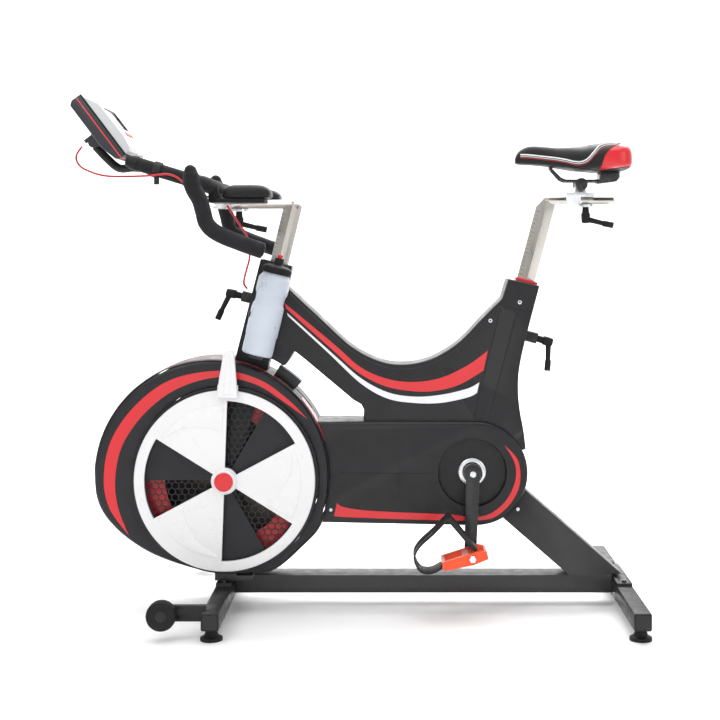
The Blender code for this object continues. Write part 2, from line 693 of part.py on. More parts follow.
def drive_cover(name, side):
    shell = half_shell(name, drive_outline(), DRIVE_HALF_WIDTH, side, COVER_BLACK)
    cut(shell, prism("drum_clearance", drum_outline(GAP), (-0.1, 0.1)))
    recess_y = mirrored((RECESS_Y, 0.10), side)
    dish_y = mirrored((RECESS_Y - WALL, DRIVE_HALF_WIDTH - 0.001), side)
    dish = rod("dish", (CRANK_X, dish_y[0], CRANK_Z), (CRANK_X, dish_y[1], CRANK_Z), RECESS_RADIUS + WALL,
               sides=24)
    hollow = rod("recess", (CRANK_X, recess_y[0], CRANK_Z), (CRANK_X, recess_y[1], CRANK_Z), RECESS_RADIUS,
                 sides=24)
    axle = rod("axle_hole", (CRANK_X, -0.1, CRANK_Z), (CRANK_X, 0.1, CRANK_Z), AXLE_RADIUS + 0.004,
               sides=18)
    join(shell, dish)
    cut(shell, hollow, axle)
    cut(shell, box("frame_opening", (0.040, 0.352), (-0.0255, 0.0255), (0.36, 0.46)))
    half = BEAM_HALF_WIDTH - 0.001 + GAP
    cut(shell, prism("strut_opening", strut_outline(GAP), (-half, half)))
    return cut(shell, chain_passage())


def chain_passage():
    """Opening for the second chain between the drive covers and the drum."""
    return box("chain_passage", (-0.10, -0.035), (SECOND_CHAIN_Y - 0.006, SECOND_CHAIN_Y + 0.006),
               (JACK_Z - 0.072, JACK_Z + 0.072))


def flywheel_cover(name, side):
    shell = half_shell(name, drum_outline(), DRUM_HALF_WIDTH, side, HOUSING_GREY)
    face_y = mirrored((DRUM_HALF_WIDTH - 0.025, DRUM_HALF_WIDTH + 0.035), side)
    cut(shell, rod("opening", (FLY_X, face_y[0], FLY_Z), (FLY_X, face_y[1], FLY_Z), DRUM_OPENING + 0.0008,
                   sides=36))
    foot_y = FORK_INNER_Y + FORK_THICKNESS + GAP
    cut(shell, box("fork_opening", (FLY_X - 0.030, FLY_X + 0.065), (-foot_y, foot_y), (0.06, 0.13)))
    cut(shell, box("stem_opening", (FLY_X + 0.0497, FLY_X + 0.0803), (-0.0178, 0.0178), (0.51, 0.62)))
    cut(shell, slider_slot())
    return cut(shell, chain_passage())


# ---------------------------------------------------------------- grilles, damper and magnet lever
def sector(centre, inner, outer, start, end, steps=6):
    """Closed ring sector outline, angles in degrees."""
    far = circle_points(*centre, outer, start, end, steps)
    near = circle_points(*centre, inner, end, start, max(2, steps // 2))
    return far + near


def grille(name, side):
    """Fixed face plate of the drum, open in three sectors, with a stub axle for the damper."""
    inner_y, outer_y = DRUM_HALF_WIDTH - WALL, GRILLE_Y
    plate_y = outer_y - GRILLE_THICKNESS
    rim = DRUM_OPENING - GAP
    profile = [(0.0, outer_y), (rim, outer_y), (rim, inner_y), (rim - 0.004, inner_y),
               (rim - 0.004, plate_y), (0.0, plate_y)]
    if side < 0:
        profile = [(0.0, HUB_Y - 0.002), (0.0117, HUB_Y - 0.002), (0.0117, outer_y)] + profile[1:]
    plate = along_y(turned(name, profile, 36, GRILLE_BLACK), side)
    plate.location = (FLY_X, 0.0, FLY_Z)
    for start in (60.0, 180.0, 300.0):
        window = sector((FLY_X, FLY_Z), 0.032, DISC_WINDOW_RADIUS - 0.002, start, start + 58.0)
        cut(plate, prism("grille_window", window, mirrored((GRILLE_Y - 0.0235, GRILLE_Y + 0.0165), side)))
    return plate


def damper_disc():
    profile = [(0.0121, HUB_Y), (DISC_HUB_RADIUS - 0.002, HUB_Y), (DISC_HUB_RADIUS, HUB_Y - 0.002),
               (DISC_HUB_RADIUS, DISC_OUTER_Y), (DISC_RADIUS, DISC_OUTER_Y), (DISC_RADIUS, DISC_INNER_Y),
               (DISC_HUB_RADIUS, DISC_INNER_Y), (DISC_HUB_RADIUS, GRILLE_Y + GAP), (0.0121, GRILLE_Y + GAP),
               (0.0121, HUB_Y)]
    disc = along_y(turned("damper_disc", profile, 36, DISC_WHITE))
    for start in (28.0, 148.0, 268.0):
        window = sector((0, 0), DISC_HUB_RADIUS + 0.003, DISC_WINDOW_RADIUS, start, start + 60.0, 6)
        cut(disc, prism("disc_window", window, (-HUB_Y - 0.01, 0.01 - DISC_INNER_Y)))
    lean = DISC_LEVER_LEAN
    lever = [(-0.0245, DISC_RADIUS - 0.016), (0.0245, DISC_RADIUS - 0.016),
             (0.0125, DISC_LEVER_LENGTH - 0.012),
             (0.007, DISC_LEVER_LENGTH - 0.002), (-0.007, DISC_LEVER_LENGTH - 0.002),
             (-0.0125, DISC_LEVER_LENGTH - 0.012)]
    turned_lever = [(x * cos(lean) + z * sin(lean), z * cos(lean) - x * sin(lean)) for x, z in lever]
    join(disc, prism("disc_lever", turned_lever, (-HUB_Y - 0.0035, 0.0055 - HUB_Y)))
    bridge = [(-0.0235, DISC_RADIUS - 0.0155), (0.0235, DISC_RADIUS - 0.0155), (0.0225, 0.216),
              (-0.0225, 0.216)]
    turned_bridge = [(x * cos(lean) + z * sin(lean), z * cos(lean) - x * sin(lean)) for x, z in bridge]
    join(disc, prism("lever_bridge", turned_bridge, (0.002 - HUB_Y, 0.0035 - DISC_OUTER_Y)))
    place(disc_parts(disc), (FLY_X, 0.0, FLY_Z))
    cap_profile = [(0.0, HUB_Y + 0.005), (0.018, HUB_Y + 0.005), (0.021, HUB_Y + 0.0025),
                   (0.021, HUB_Y + GAP),
                   (0.0, HUB_Y + GAP)]
    cap = along_y(turned("damper_cap", cap_profile, 32, RED))
    cap.location = (FLY_X, 0.0, FLY_Z)


def disc_parts(disc):
    """The disc with the shapes that its modifiers use, so that they are placed together."""
    return [disc] + [m.object for m in disc.modifiers if m.type == "BOOLEAN"]


SLIDER_START = 46.5
SLIDER_END = 59.0
SLIDER_TRAVEL = 16.0


def slider_slot():
    """Slot in the crest of the drum in which the magnet lever travels."""
    slot = sector((DRUM_X, DRUM_Z), DRUM_RADIUS - 0.02, DRUM_RADIUS + 0.02,
                  SLIDER_START - SLIDER_TRAVEL + 3.0, SLIDER_END - 1.0, 12)
    return prism("slider_slot", slot, (-0.0065, 0.0065))


def brake_slider():
    """Thumb piece on the crest with the magnet carrier inside, turning about the drum's centre."""
    pad = sector((0, 0), DRUM_RADIUS + 2 * GAP, DRUM_RADIUS + 0.0225, SLIDER_START, SLIDER_END, 5)
    slider = prism("brake_slider", pad, (-0.020, 0.020), MONITOR_GREY)
    neck = sector((0, 0), DRUM_RADIUS - 0.030, DRUM_RADIUS + 0.005, SLIDER_START + 4.5, SLIDER_END - 2.5, 3)
    join(slider, prism("neck", neck, (-0.0055, 0.0055)))
    carrier = sector((0, 0), DRUM_RADIUS - 0.034, DRUM_RADIUS - 0.024, SLIDER_START + 1.0, SLIDER_END, 4)
    join(slider, prism("carrier", carrier, (-0.012, 0.066)))
    return place(disc_parts(slider), (DRUM_X, 0.0, DRUM_Z))


# ---------------------------------------------------------------- drive
def chain_loop(name, centres, radii, y):
    """Closed band round two sprockets."""
    (ax, az), (bx, bz) = centres
    ra, rb = radii
    distance = hypot(bx - ax, bz - az)
    heading = atan2(bz - az, bx - ax)
    wrap = atan2((distance ** 2 - (ra - rb) ** 2) ** 0.5, ra - rb)

    def loop(extra):
        first = [heading + wrap + (2 * pi - 2 * wrap) * i / 14 for i in range(15)]
        second = [heading - wrap + 2 * wrap * i / 9 for i in range(10)]
        return ([(ax + (ra + extra) * cos(a), az + (ra + extra) * sin(a)) for a in first]
                + [(bx + (rb + extra) * cos(a), bz + (rb + extra) * sin(a)) for a in second])

    half = CHAIN_WIDTH / 2
    chain = prism(name, loop(CHAIN_THICKNESS), (y - half, y + half), CHAIN_STEEL)
    return cut(chain, prism(name + "_inside", loop(0.0018), (y - 0.02, y + 0.02)))


def axle_y(name, x, z, radius, y, material, sides=20):
    obj = rod(name, (0, y[0], 0), (0, y[1], 0), radius, material, sides=sides)
    obj.location = (x, 0.0, z)
    return obj


def crank_axle():
    """Axle of the cranks with the chainring that is pressed on it."""
    half = CHAIN_WIDTH / 2
    y = (FIRST_CHAIN_Y - half, FIRST_CHAIN_Y + half)
    axle = axle_y("crank_axle", CRANK_X, CRANK_Z, AXLE_RADIUS, (-AXLE_HALF_LENGTH, AXLE_HALF_LENGTH),
                  STEEL, 24)
    ring = axle_y("chainring", CRANK_X, CRANK_Z, CHAINRING_RADIUS, y, None, 32)
    join(axle, ring)
    return axle


def crank(name, side):
    """Crank arm with its hub and the pedal's spindle; the arm hangs or stands along Z."""
    pointing = -1 if side < 0 else 1
    end = pointing * CRANK_LENGTH
    outline = (circle_points(0, 0, 0.0155, 0 if pointing > 0 else 180, -180 if pointing > 0 else 0, 10)
               + circle_points(0, end, 0.0135, 180 if pointing > 0 else 0, 0 if pointing > 0 else -180, 10))
    arm = prism(name, outline, mirrored((AXLE_HALF_LENGTH + GAP, 0.088), side), DARK_METAL)
    hub_y = mirrored((0.066, 0.080), side)
    join(arm, rod("hub", (0, hub_y[0], 0), (0, hub_y[1], 0), 0.022, sides=24))
    cut(arm, rod("hub_bore", (0, -0.0745, 0), (0, 0.0745, 0), AXLE_RADIUS + GAP, sides=20))
    spindle = mirrored((0.080, PEDAL_OUTER_Y + 0.002), side)
    join(arm, rod("spindle", (0, spindle[0], end), (0, spindle[1], end), SPINDLE_RADIUS, sides=16))
    return place(disc_parts(arm), (CRANK_X, 0.0, CRANK_Z), CRANK_LEAN)


def pedal_axis(side):
    """World (x, z) of the pedal's spindle."""
    return (CRANK_X + side * CRANK_LENGTH * sin(CRANK_LEAN),
            CRANK_Z + side * CRANK_LENGTH * cos(CRANK_LEAN))


def pedal(name, side):
    """Pedal body: two rails and end blocks round the barrel."""
    inner, outer = PEDAL_INNER_Y, PEDAL_OUTER_Y
    x, z = pedal_axis(side)
    profile = [(-0.068, -0.010), (-0.068, 0.009), (0.020, 0.014), (0.034, 0.006), (0.034, -0.008),
               (0.0, -0.013)]
    body = prism(name, profile, mirrored((inner, outer), side), ORANGE)
    for low, high in ((-0.060, -0.020), (0.016, 0.028)):
        cut(body, box("pedal_gap", (low, high), mirrored((inner + 0.012, outer - 0.012), side),
                      (-0.03, 0.03)))
    cut(body, rod("barrel_bore", (0, -0.25, 0), (0, 0.25, 0), SPINDLE_RADIUS + GAP, sides=16))
    return place(disc_parts(body), (x, 0.0, z), PEDAL_LEAN)


def toe_clip(name, side):
    """Toe cage: a bent strip in front of the pedal, tied by a strap."""
    inner, outer = PEDAL_INNER_Y + 0.010, PEDAL_OUTER_Y - 0.010
    x, z = pedal_axis(side)
    route = smooth_through([(-0.0692, -0.004), (-0.095, -0.010), (-0.118, 0.000), (-0.124, 0.030),
                            (-0.108, 0.052),
                            (-0.070, 0.073), (-0.030, 0.098)], 3)
    path = [Vector(p) for p in route]
    thick = 0.0022
    left, right = [], []
    for i, point in enumerate(path):
        run = (path[min(i + 1, len(path) - 1)] - path[max(i - 1, 0)]).normalized()
        left.append((point.x - run.y * thick, point.y + run.x * thick))
        right.append((point.x + run.y * thick, point.y - run.x * thick))
    clip = prism(name, left + right[::-1], mirrored((inner, outer), side), WEB_BLACK)
    cut(clip, prism("clip_slot", [(-0.2, 0.006), (-0.045, 0.006), (-0.045, 0.2), (-0.2, 0.2)],
                    mirrored((inner + 0.018, outer - 0.018), side)))
    strap = [(-0.034, 0.094), (-0.026, 0.0995), (0.012, 0.020), (0.016, 0.0150), (0.008, 0.0142),
             (0.004, 0.018)]
    join(clip, prism("strap", strap, mirrored((inner + 0.001, outer - 0.001), side)))
    return place(disc_parts(clip), (x, 0.0, z), PEDAL_LEAN)


# ---------------------------------------------------------------- sliding masts
def rail(name, x, z, height, material=STEEL):
    """Flattened six-sided tube along X with a slot for the carriage stud."""
    half, flat, rise = POST_HALF_DIAGONAL - 0.0004, 0.011, height / 2
    section = [(-half, 0.0), (-flat, -rise), (flat, -rise), (half, 0.0), (flat, rise), (-flat, rise)]
    outer = bar_along_x(name, section, x, material)
    inner_section = [(y * 0.84, up * 0.72) for y, up in section]
    inner = bar_along_x("rail_inside", inner_section, (x[0] + 0.012, x[1] - 0.012))
    place([outer, inner], (0.0, 0.0, z))
    return outer, inner


def stud_slot(x, z):
    return box("stud_slot", x, (-SLOT_WIDTH / 2, SLOT_WIDTH / 2), (z - 0.02, z + 0.02))


def post_end(origin, lean, rail_z):
    """Length from the top of the sleeve, along the post, up to the middle of its rail."""
    return (rail_z - origin[2]) / cos(lean)


def handlebar_post():
    rise = post_end(HEAD_TOP, HEAD_LEAN, BAR_RAIL_Z)
    post = diamond("handlebar_post", POST_HALF_DIAGONAL, -HEAD_POST_INSERT, rise + 0.006, STEEL)
    hollow = diamond("post_hollow", POST_HALF_DIAGONAL - POST_WALL * 1.4, -HEAD_POST_INSERT - 0.01,
                     rise - 0.018)
    place([post, hollow], HEAD_TOP, HEAD_LEAN)
    outer, inner = rail("bar_rail", (BAR_RAIL_FRONT_X, -0.1262), BAR_RAIL_Z, BAR_RAIL_HEIGHT)
    join(post, outer)
    cut(post, hollow, inner, stud_slot((-0.3120, -0.2430), BAR_RAIL_Z))
    top = BAR_RAIL_Z + BAR_RAIL_HEIGHT / 2
    nose = [(BAR_RAIL_FRONT_X - 0.01, BAR_RAIL_Z - 0.012), (BAR_RAIL_FRONT_X, BAR_RAIL_Z - 0.0082),
            (BAR_RAIL_FRONT_X + 0.0264, top), (BAR_RAIL_FRONT_X + 0.0264, top + 0.01),
            (BAR_RAIL_FRONT_X - 0.01, top + 0.01)]
    elbow = [(-0.1350, top + 0.0004), (-0.1120, 0.9120), (-0.09, 0.9120), (-0.09, 0.96), (-0.1350, 0.96)]
    return cut(post, prism("nose_cut", nose, (-0.04, 0.04)), prism("elbow_cut", elbow, (-0.04, 0.04)))


def seat_post():
    rise = post_end(SEAT_TOP, SEAT_LEAN, SEAT_RAIL_Z)
    post = diamond("seat_post", POST_HALF_DIAGONAL, -SEAT_POST_INSERT, rise + 0.006, STEEL)
    hollow = diamond("post_hollow", POST_HALF_DIAGONAL - POST_WALL * 1.4, -SEAT_POST_INSERT - 0.01,
                     rise - 0.018)
    place([post, hollow], SEAT_TOP, SEAT_LEAN)
    outer, inner = rail("seat_rail", (0.4435, SEAT_RAIL_REAR_X), SEAT_RAIL_Z, SEAT_RAIL_HEIGHT)
    join(post, outer)
    cut(post, hollow, inner, stud_slot((0.4990, 0.5870), SEAT_RAIL_Z))
    top = SEAT_RAIL_Z + SEAT_RAIL_HEIGHT / 2
    elbow = [(0.4440, 0.96), (0.40, 0.96), (0.40, 0.9220), (0.4260, 0.9220), (0.4440, top + 0.0004)]
    return cut(post, prism("elbow_cut", elbow, (-0.04, 0.04)))


def lever(name, origin, outward, arm, arm_length=0.062):
    """Clamping lever: a hub on its screw and an arm that leans away from the part."""
    outward, arm = Vector(outward).normalized(), Vector(arm).normalized()
    side = outward.cross(arm)
    turn = Matrix((arm, side, outward)).transposed().to_4x4().to_quaternion()
    profile = [(0.0, 0.0375), (0.0075, 0.0375), (0.0095, 0.0350), (0.0105, 0.0230), (0.0105, 0.0150),
               (0.0085, 0.0135), (0.0075, GAP), (0.0, GAP)]
    hub = turned(name, profile, 16, RUBBER)
    tip = (arm_length - 0.004, 0.0, 0.0415)
    shank = rod("shank", (0.0, 0.0, 0.0275), tip, 0.0068, sides=10, end_radius=0.0052)
    grip = rod("grip", (arm_length - 0.020, 0.0, 0.0378), (arm_length + 0.004, 0.0, 0.0424), 0.0072,
               sides=12)
    join(hub, shank, grip)
    for piece in (hub, shank, grip):
        piece.location = origin
        piece.rotation_euler = turn.to_euler()
    return hub


def mast_point(origin, lean, along_x, along_z):
    """World point given in a mast's own directions."""
    return (origin[0] + along_x * cos(lean) + along_z * sin(lean), 0.0,
            origin[2] - along_x * sin(lean) + along_z * cos(lean))


def mast_levers():
    x_axis = (cos(HEAD_LEAN), 0.0, -sin(HEAD_LEAN))
    lever("head_lever", mast_point(HEAD_TOP, HEAD_LEAN, HEAD_BOSS_END, HEAD_CLAMP_ALONG),
                 [-v for v in x_axis], (-sin(HEAD_LEAN), 0.0, -cos(HEAD_LEAN)))
    x_axis = (cos(SEAT_LEAN), 0.0, -sin(SEAT_LEAN))
    lever("seat_lever", mast_point(SEAT_TOP, SEAT_LEAN, SEAT_BOSS_END, SEAT_CLAMP_ALONG),
                 x_axis, (-sin(SEAT_LEAN), 0.0, -cos(SEAT_LEAN)))


# ---------------------------------------------------------------- handlebar
def carriage(name, stud_x, x, rail_z, rail_height, top, washer_radius, material):
    """Block that rides on a rail, with cheeks, a stud through the slot and a washer below."""
    rail_top = rail_z + rail_height / 2 + GAP
    rail_bottom = rail_z - rail_height / 2 - GAP
    half = POST_HALF_DIAGONAL + 0.0032
    block = box(name, x, (-half, half), (rail_top, top), material)
    for side in (-1, 1):
        cheek = mirrored((POST_HALF_DIAGONAL + GAP, half - 0.0001), side)
        join(block, box("cheek", (x[0] + 0.0001, x[0] + 0.034), cheek, (rail_bottom + 0.001, top - 0.0005)))
    washer = (rail_bottom - 0.0060, rail_bottom)
    join(block, rod("washer", (stud_x, 0, washer[0]), (stud_x, 0, washer[1]), washer_radius, sides=24))
    join(block, rod("stud", (stud_x, 0, washer[0] + 0.002), (stud_x, 0, top - 0.001), STUD_RADIUS,
                    sides=12))
    return block, washer[0]


def handlebar():
    half = BAR_HALF_WIDTH
    turn = smooth_through([
        (CROSSBAR_X - 0.036, -half + 0.006, CROSSBAR_Z + 0.009),
        (CROSSBAR_X - 0.020, -half + 0.025, CROSSBAR_Z + 0.008),
        (CROSSBAR_X - 0.005, -half + 0.062, CROSSBAR_Z + 0.002), (CROSSBAR_X, -0.110, CROSSBAR_Z),
    ], 2) + [(CROSSBAR_X, 0.0, CROSSBAR_Z)]
    bar = tube("handlebar", turn + [(x, -y, z) for x, y, z in turn[-2::-1]], BAR_RADIUS, FOAM, 2)
    for side in (-1, 1):
        y = side * half
        drop = smooth_through([
            (-0.1865, y, 0.8165), (-0.2350, y, 0.8335), (-0.2860, y, 0.8545), (-0.3110, y, 0.8760),
            (-0.3190, y, 0.9030), (-0.3270, y, 0.9290), (-0.3420, y, 0.9560), (-0.3460, y, 0.9850),
        ], 2)
        join(bar, tube("drop", drop, BAR_RADIUS + 0.0004, None, 2))
        join(bar, rod("hood", (-0.3445, y, 0.972), (-0.3475, y, 1.0050), 0.0195, sides=12,
                      end_radius=0.0100))
        low, high = mirrored((PAD_INNER_Y + 0.004, PAD_OUTER_Y - 0.004), side)
        join(bar, box("pad_base", (CROSSBAR_X - 0.010, -0.190), (low, high),
                      (PAD_BOTTOM, PAD_BOTTOM + 0.0100)))
        join(bar, box("pad_riser", (CROSSBAR_X - 0.009, CROSSBAR_X + 0.012), (low + 0.001, high - 0.001),
                      (PAD_BOTTOM + 0.001, CROSSBAR_Z)))
    return bar


def armrest(name, side):
    y = mirrored((PAD_INNER_Y, PAD_OUTER_Y), side)
    low = PAD_BOTTOM + 0.0100 + GAP
    pad = box(name, (CROSSBAR_X + BAR_RADIUS + 0.002, -0.1775), y, (low, low + 0.0330), VINYL)
    return bevel(pad, 0.012, 3)


def aero_axis(x):
    """Height of the axis of an aero extension at x."""
    return CROSSBAR_Z + 0.0010 - (x - CROSSBAR_X) * 0.3075


def crossbar_clearance():
    return rod("crossbar_clearance", (CROSSBAR_X, -0.17, CROSSBAR_Z), (CROSSBAR_X, 0.17, CROSSBAR_Z),
               BAR_RADIUS + 2 * GAP, sides=24)


def aero_bar(name, side):
    y = side * AERO_HALF_SPREAD
    path = [(CROSSBAR_X - 0.005, y, aero_axis(CROSSBAR_X - 0.005)), (-0.486, y, aero_axis(-0.486))]
    bar = tube(name, path, AERO_RADIUS, FOAM, 4)
    tip_z = aero_axis(-0.4975) + 0.0005
    cap = rod("cap", (-0.4830, y, aero_axis(-0.483)), (-0.5115, y, tip_z + 0.003), AERO_RADIUS + 0.0012,
              sides=16,
              end_radius=0.0120)
    join(bar, cap)
    if side < 0:
        join(bar, *cable_strap())
    return cut(bar, crossbar_clearance())


def cable_strap():
    """Band that ties the cable to the left aero extension, with its loose tail."""
    y = -AERO_HALF_SPREAD
    start, end = (-0.4310, y, aero_axis(-0.4310)), (-0.4480, y, aero_axis(-0.4480))
    band = rod("cable_strap", start, end, AERO_RADIUS + 0.0035, None, 20)
    tail = box("strap_tail", (-0.4440, -0.4320), (y - 0.0175, y - 0.0105), (0.9690, 0.9930))
    return band, tail


PIVOT = (MONITOR_X + MONITOR_PIVOT[0] * cos(MONITOR_LEAN) + MONITOR_PIVOT[1] * sin(MONITOR_LEAN), 0.0,
         MONITOR_Z - MONITOR_PIVOT[0] * sin(MONITOR_LEAN) + MONITOR_PIVOT[1] * cos(MONITOR_LEAN))


def monitor_arm():
    route = smooth_through([
        (PIVOT[0] + 0.0045, 0.0, PIVOT[2] - 0.0080), (-0.5835, 0.0, 1.0440), (-0.5660, 0.0, 1.0265),
        (-0.5500, 0.0, 1.0125), (-0.5350, 0.0, 1.0075), (-0.5150, 0.0, 1.0100), (-0.4900, 0.0, 1.0090),
    ], 2) + [(CROSSBAR_X - 0.005, 0.0, CROSSBAR_Z + 0.001)]
    arm = tube("monitor_arm", route, STEM_RADIUS, FRAME_BLACK, 3)
    join(arm, rod("eye", (PIVOT[0], -0.0110, PIVOT[2]), (PIVOT[0], 0.0110, PIVOT[2]), 0.0115, sides=20))
    cut(arm, rod("eye_bore", (PIVOT[0], -0.02, PIVOT[2]), (PIVOT[0], 0.02, PIVOT[2]), 0.0045, sides=16))
    return cut(arm, crossbar_clearance())


# ---------------------------------------------------------------- monitor
def monitor_case():
    outline = [(-0.0269, 0.0794), (-0.0269, -0.0394), (-0.0181, -0.0761), (-0.0102, -0.0848),
               (0.0080, -0.0848),
               (0.0080, 0.0856), (-0.0180, 0.0856)]
    half = MONITOR_HALF_WIDTH
    case = prism("monitor_case", outline, (-half, half), MONITOR_GREY)
    bevel(case, 0.004, 2)
    hollow = [(-0.0240, 0.0775), (-0.0240, -0.0390), (-0.0158, -0.0740), (-0.0092, -0.0820),
              (0.02, -0.0820),
              (0.02, 0.0828), (-0.0170, 0.0828)]
    cut(case, prism("case_hollow", hollow, (-half + 0.0025, half - 0.0025)))
    px, pz = MONITOR_PIVOT
    for side in (-1, 1):
        ear = [(-0.0255, 0.020), (-0.0255, -0.030), (px - 0.004, pz - 0.010), (px - 0.010, pz),
               (px - 0.004, pz + 0.010)]
        join(case, prism("ear", ear, mirrored((0.0113, 0.0165), side)))
    join(case, rod("pin", (px, -0.0160, pz), (px, 0.0160, pz), 0.0041, sides=14))
    plug = box("socket", (px - 0.0135, px + 0.005), (-0.0162, -0.0115), (0.0040, 0.0130))
    join(case, plug)
    return place(disc_parts(case), (MONITOR_X, 0.0, MONITOR_Z), MONITOR_LEAN)


BUTTON_U = -0.0385
BUTTON_RADIUS = 0.0065


def monitor_front():
    outline = [(0.0080 + GAP, -0.0848), (0.0169, -0.0848), (0.0253, -0.0747), (0.0295, -0.0491),
               (0.0278, 0.0440),
               (0.0110, 0.0747), (0.0080 + GAP, 0.0856)]
    half = MONITOR_HALF_WIDTH
    front = prism("monitor_front", outline, (-half, half), MONITOR_SILVER)
    bevel(front, 0.003, 2)
    cut(front, box("screen_recess", (0.0255, 0.05), (-0.066, 0.066), (-0.022, 0.038)))
    for i in (-1, 0, 1):
        y = i * BUTTON_SPACING
        cut(front, rod("button_hole", (0.0235, y, BUTTON_U), (0.05, y, BUTTON_U), BUTTON_RADIUS + GAP,
                       sides=20))
    return place(disc_parts(front), (MONITOR_X, 0.0, MONITOR_Z), MONITOR_LEAN)


def monitor_buttons():
    pieces = []
    for i in (-1, 0, 1):
        y = i * BUTTON_SPACING
        button = rod("monitor_button_%d" % (i + 2), (0.0258, 0, 0), (0.0312, 0, 0), BUTTON_RADIUS, RED,
                     sides=16)
        button.data.transform(Matrix.Translation((0, y, BUTTON_U)))
        pieces.append(button)
    place(pieces, (MONITOR_X, 0.0, MONITOR_Z), MONITOR_LEAN)


# ---------------------------------------------------------------- bottle
BOTTLE_PLACE = (BOTTLE_X, BOTTLE_Y, BOTTLE_Z)


def bottle():
    top, r = BOTTLE_HEIGHT, BOTTLE_RADIUS
    outer = [(r - 0.0075, top - 0.002), (r - 0.0060, top - 0.006), (r - 0.001, top - 0.010),
             (r, top - 0.018), (r, 0.148),
             (r - 0.0035, 0.134), (r - 0.0035, 0.122), (r, 0.108), (r, 0.050), (r - 0.0012, 0.040),
             (r - 0.0012, 0.006),
             (r - 0.005, 0.0), (0.0, 0.0)]
    inner = [(0.0, 0.0025), (r - 0.0065, 0.0025), (r - 0.0035, 0.008), (r - 0.0030, 0.108),
             (r - 0.0060, 0.123),
             (r - 0.0060, 0.133), (r - 0.0030, 0.148), (r - 0.0030, top - 0.0185),
             (r - 0.0105, top - 0.009),
             (r - 0.0105, top - 0.002), (r - 0.0075, top - 0.002)]
    body = turned("bottle", outer + inner, 18, BOTTLE_CLEAR)
    place([body], BOTTLE_PLACE, HEAD_LEAN)
    low = top - 0.002 + GAP
    cap_profile = [(0.0, 0.2335), (0.0055, 0.2335), (0.0070, 0.2315), (0.0070, 0.2270), (0.0095, 0.2250),
                   (0.0105, 0.2110),
                   (0.0220, 0.2080), (0.0310, 0.2040), (0.0335, 0.1990), (0.0335, low), (0.0, low)]
    cap = turned("bottle_cap", cap_profile, 18, RUBBER)
    place([cap], BOTTLE_PLACE, HEAD_LEAN)


def bottle_cage():
    """Back plate screwed to the head cover, ledge under the bottle and an open clip."""
    face = -HEAD_HALF_WIDTH - GAP - BOTTLE_Y
    back = (BOTTLE_RADIUS + 0.0004, face)
    cage = box("bottle_cage", (-0.013, 0.013), back, (-0.0065, 0.120), GRILLE_BLACK)
    join(cage, box("ledge", (-0.014, 0.014), (-0.030, face - 0.0002), (-0.0064, -0.0006)))
    clip = [(radius * cos(radians(a)), radius * sin(radians(a))) for radius, a in
            [(BOTTLE_RADIUS + 0.0032, a) for a in range(60, 216, 12)]
            + [(BOTTLE_RADIUS + 0.0009, a) for a in range(204, 59, -12)]]
    band = prism("clip", clip, (-0.093, -0.081))
    band.data.transform(Matrix.Rotation(-pi / 2, 4, "X"))
    join(cage, band)
    return place(disc_parts(cage), BOTTLE_PLACE, HEAD_LEAN)


# ---------------------------------------------------------------- saddle
def saddle_carriage():
    block, below = carriage("saddle_carriage", SADDLE_STUD_X, (0.4910, 0.5555), SEAT_RAIL_Z,
                            SEAT_RAIL_HEIGHT,
                            0.9520, 0.0165, LIGHT_PLATE)
    x, z = SADDLE_PIVOT_X, SADDLE_PIVOT_Z
    neck = [(x - 0.013, 0.9500), (x + 0.013, 0.9500)] + circle_points(x, z, 0.0115, 0, 180, 8)
    join(block, prism("neck", neck, (-0.0090, 0.0090)))
    cut(block, rod("pivot_bore", (x, -0.03, z), (x, 0.03, z), 0.0048, sides=16))
    return block, below


def saddle_frame():
    x, z = SADDLE_PIVOT_X, SADDLE_PIVOT_Z
    pin = rod("saddle_frame", (x, -0.0262, z), (x, 0.0262, z), 0.0044, DARK_METAL, 14)
    for side in (-1, 1):
        cheek = mirrored((0.0093, 0.0260), side)
        join(pin, rod("cheek", (x, cheek[0], z), (x, cheek[1], z), 0.0145, sides=18))
        y = side * SADDLE_RAIL_Y
        route = [(0.4560, side * 0.0110, 1.0080), (0.4640, side * 0.0125, 0.9990),
                 (0.4790, side * 0.0190, 0.9835),
                 (0.4900, y, 0.9790), (0.5650, y, 0.9790), (0.5780, y, 0.9830)]
        join(pin, tube("rail", route, SADDLE_RAIL_RADIUS, None, 1))
    join(pin, box("nose_bridge", (0.4525, 0.4600), (-0.0150, 0.0150), (1.0035, 1.0095)))
    bracket = [(0.5650, 0.9720), (0.6060, 0.9770), (0.6130, 0.9860), (0.6130, 0.9998 - 0.0003),
               (0.5700, 0.9998 - 0.0003)]
    join(pin, prism("tail_bracket", bracket, (-0.033, 0.033)))
    return pin


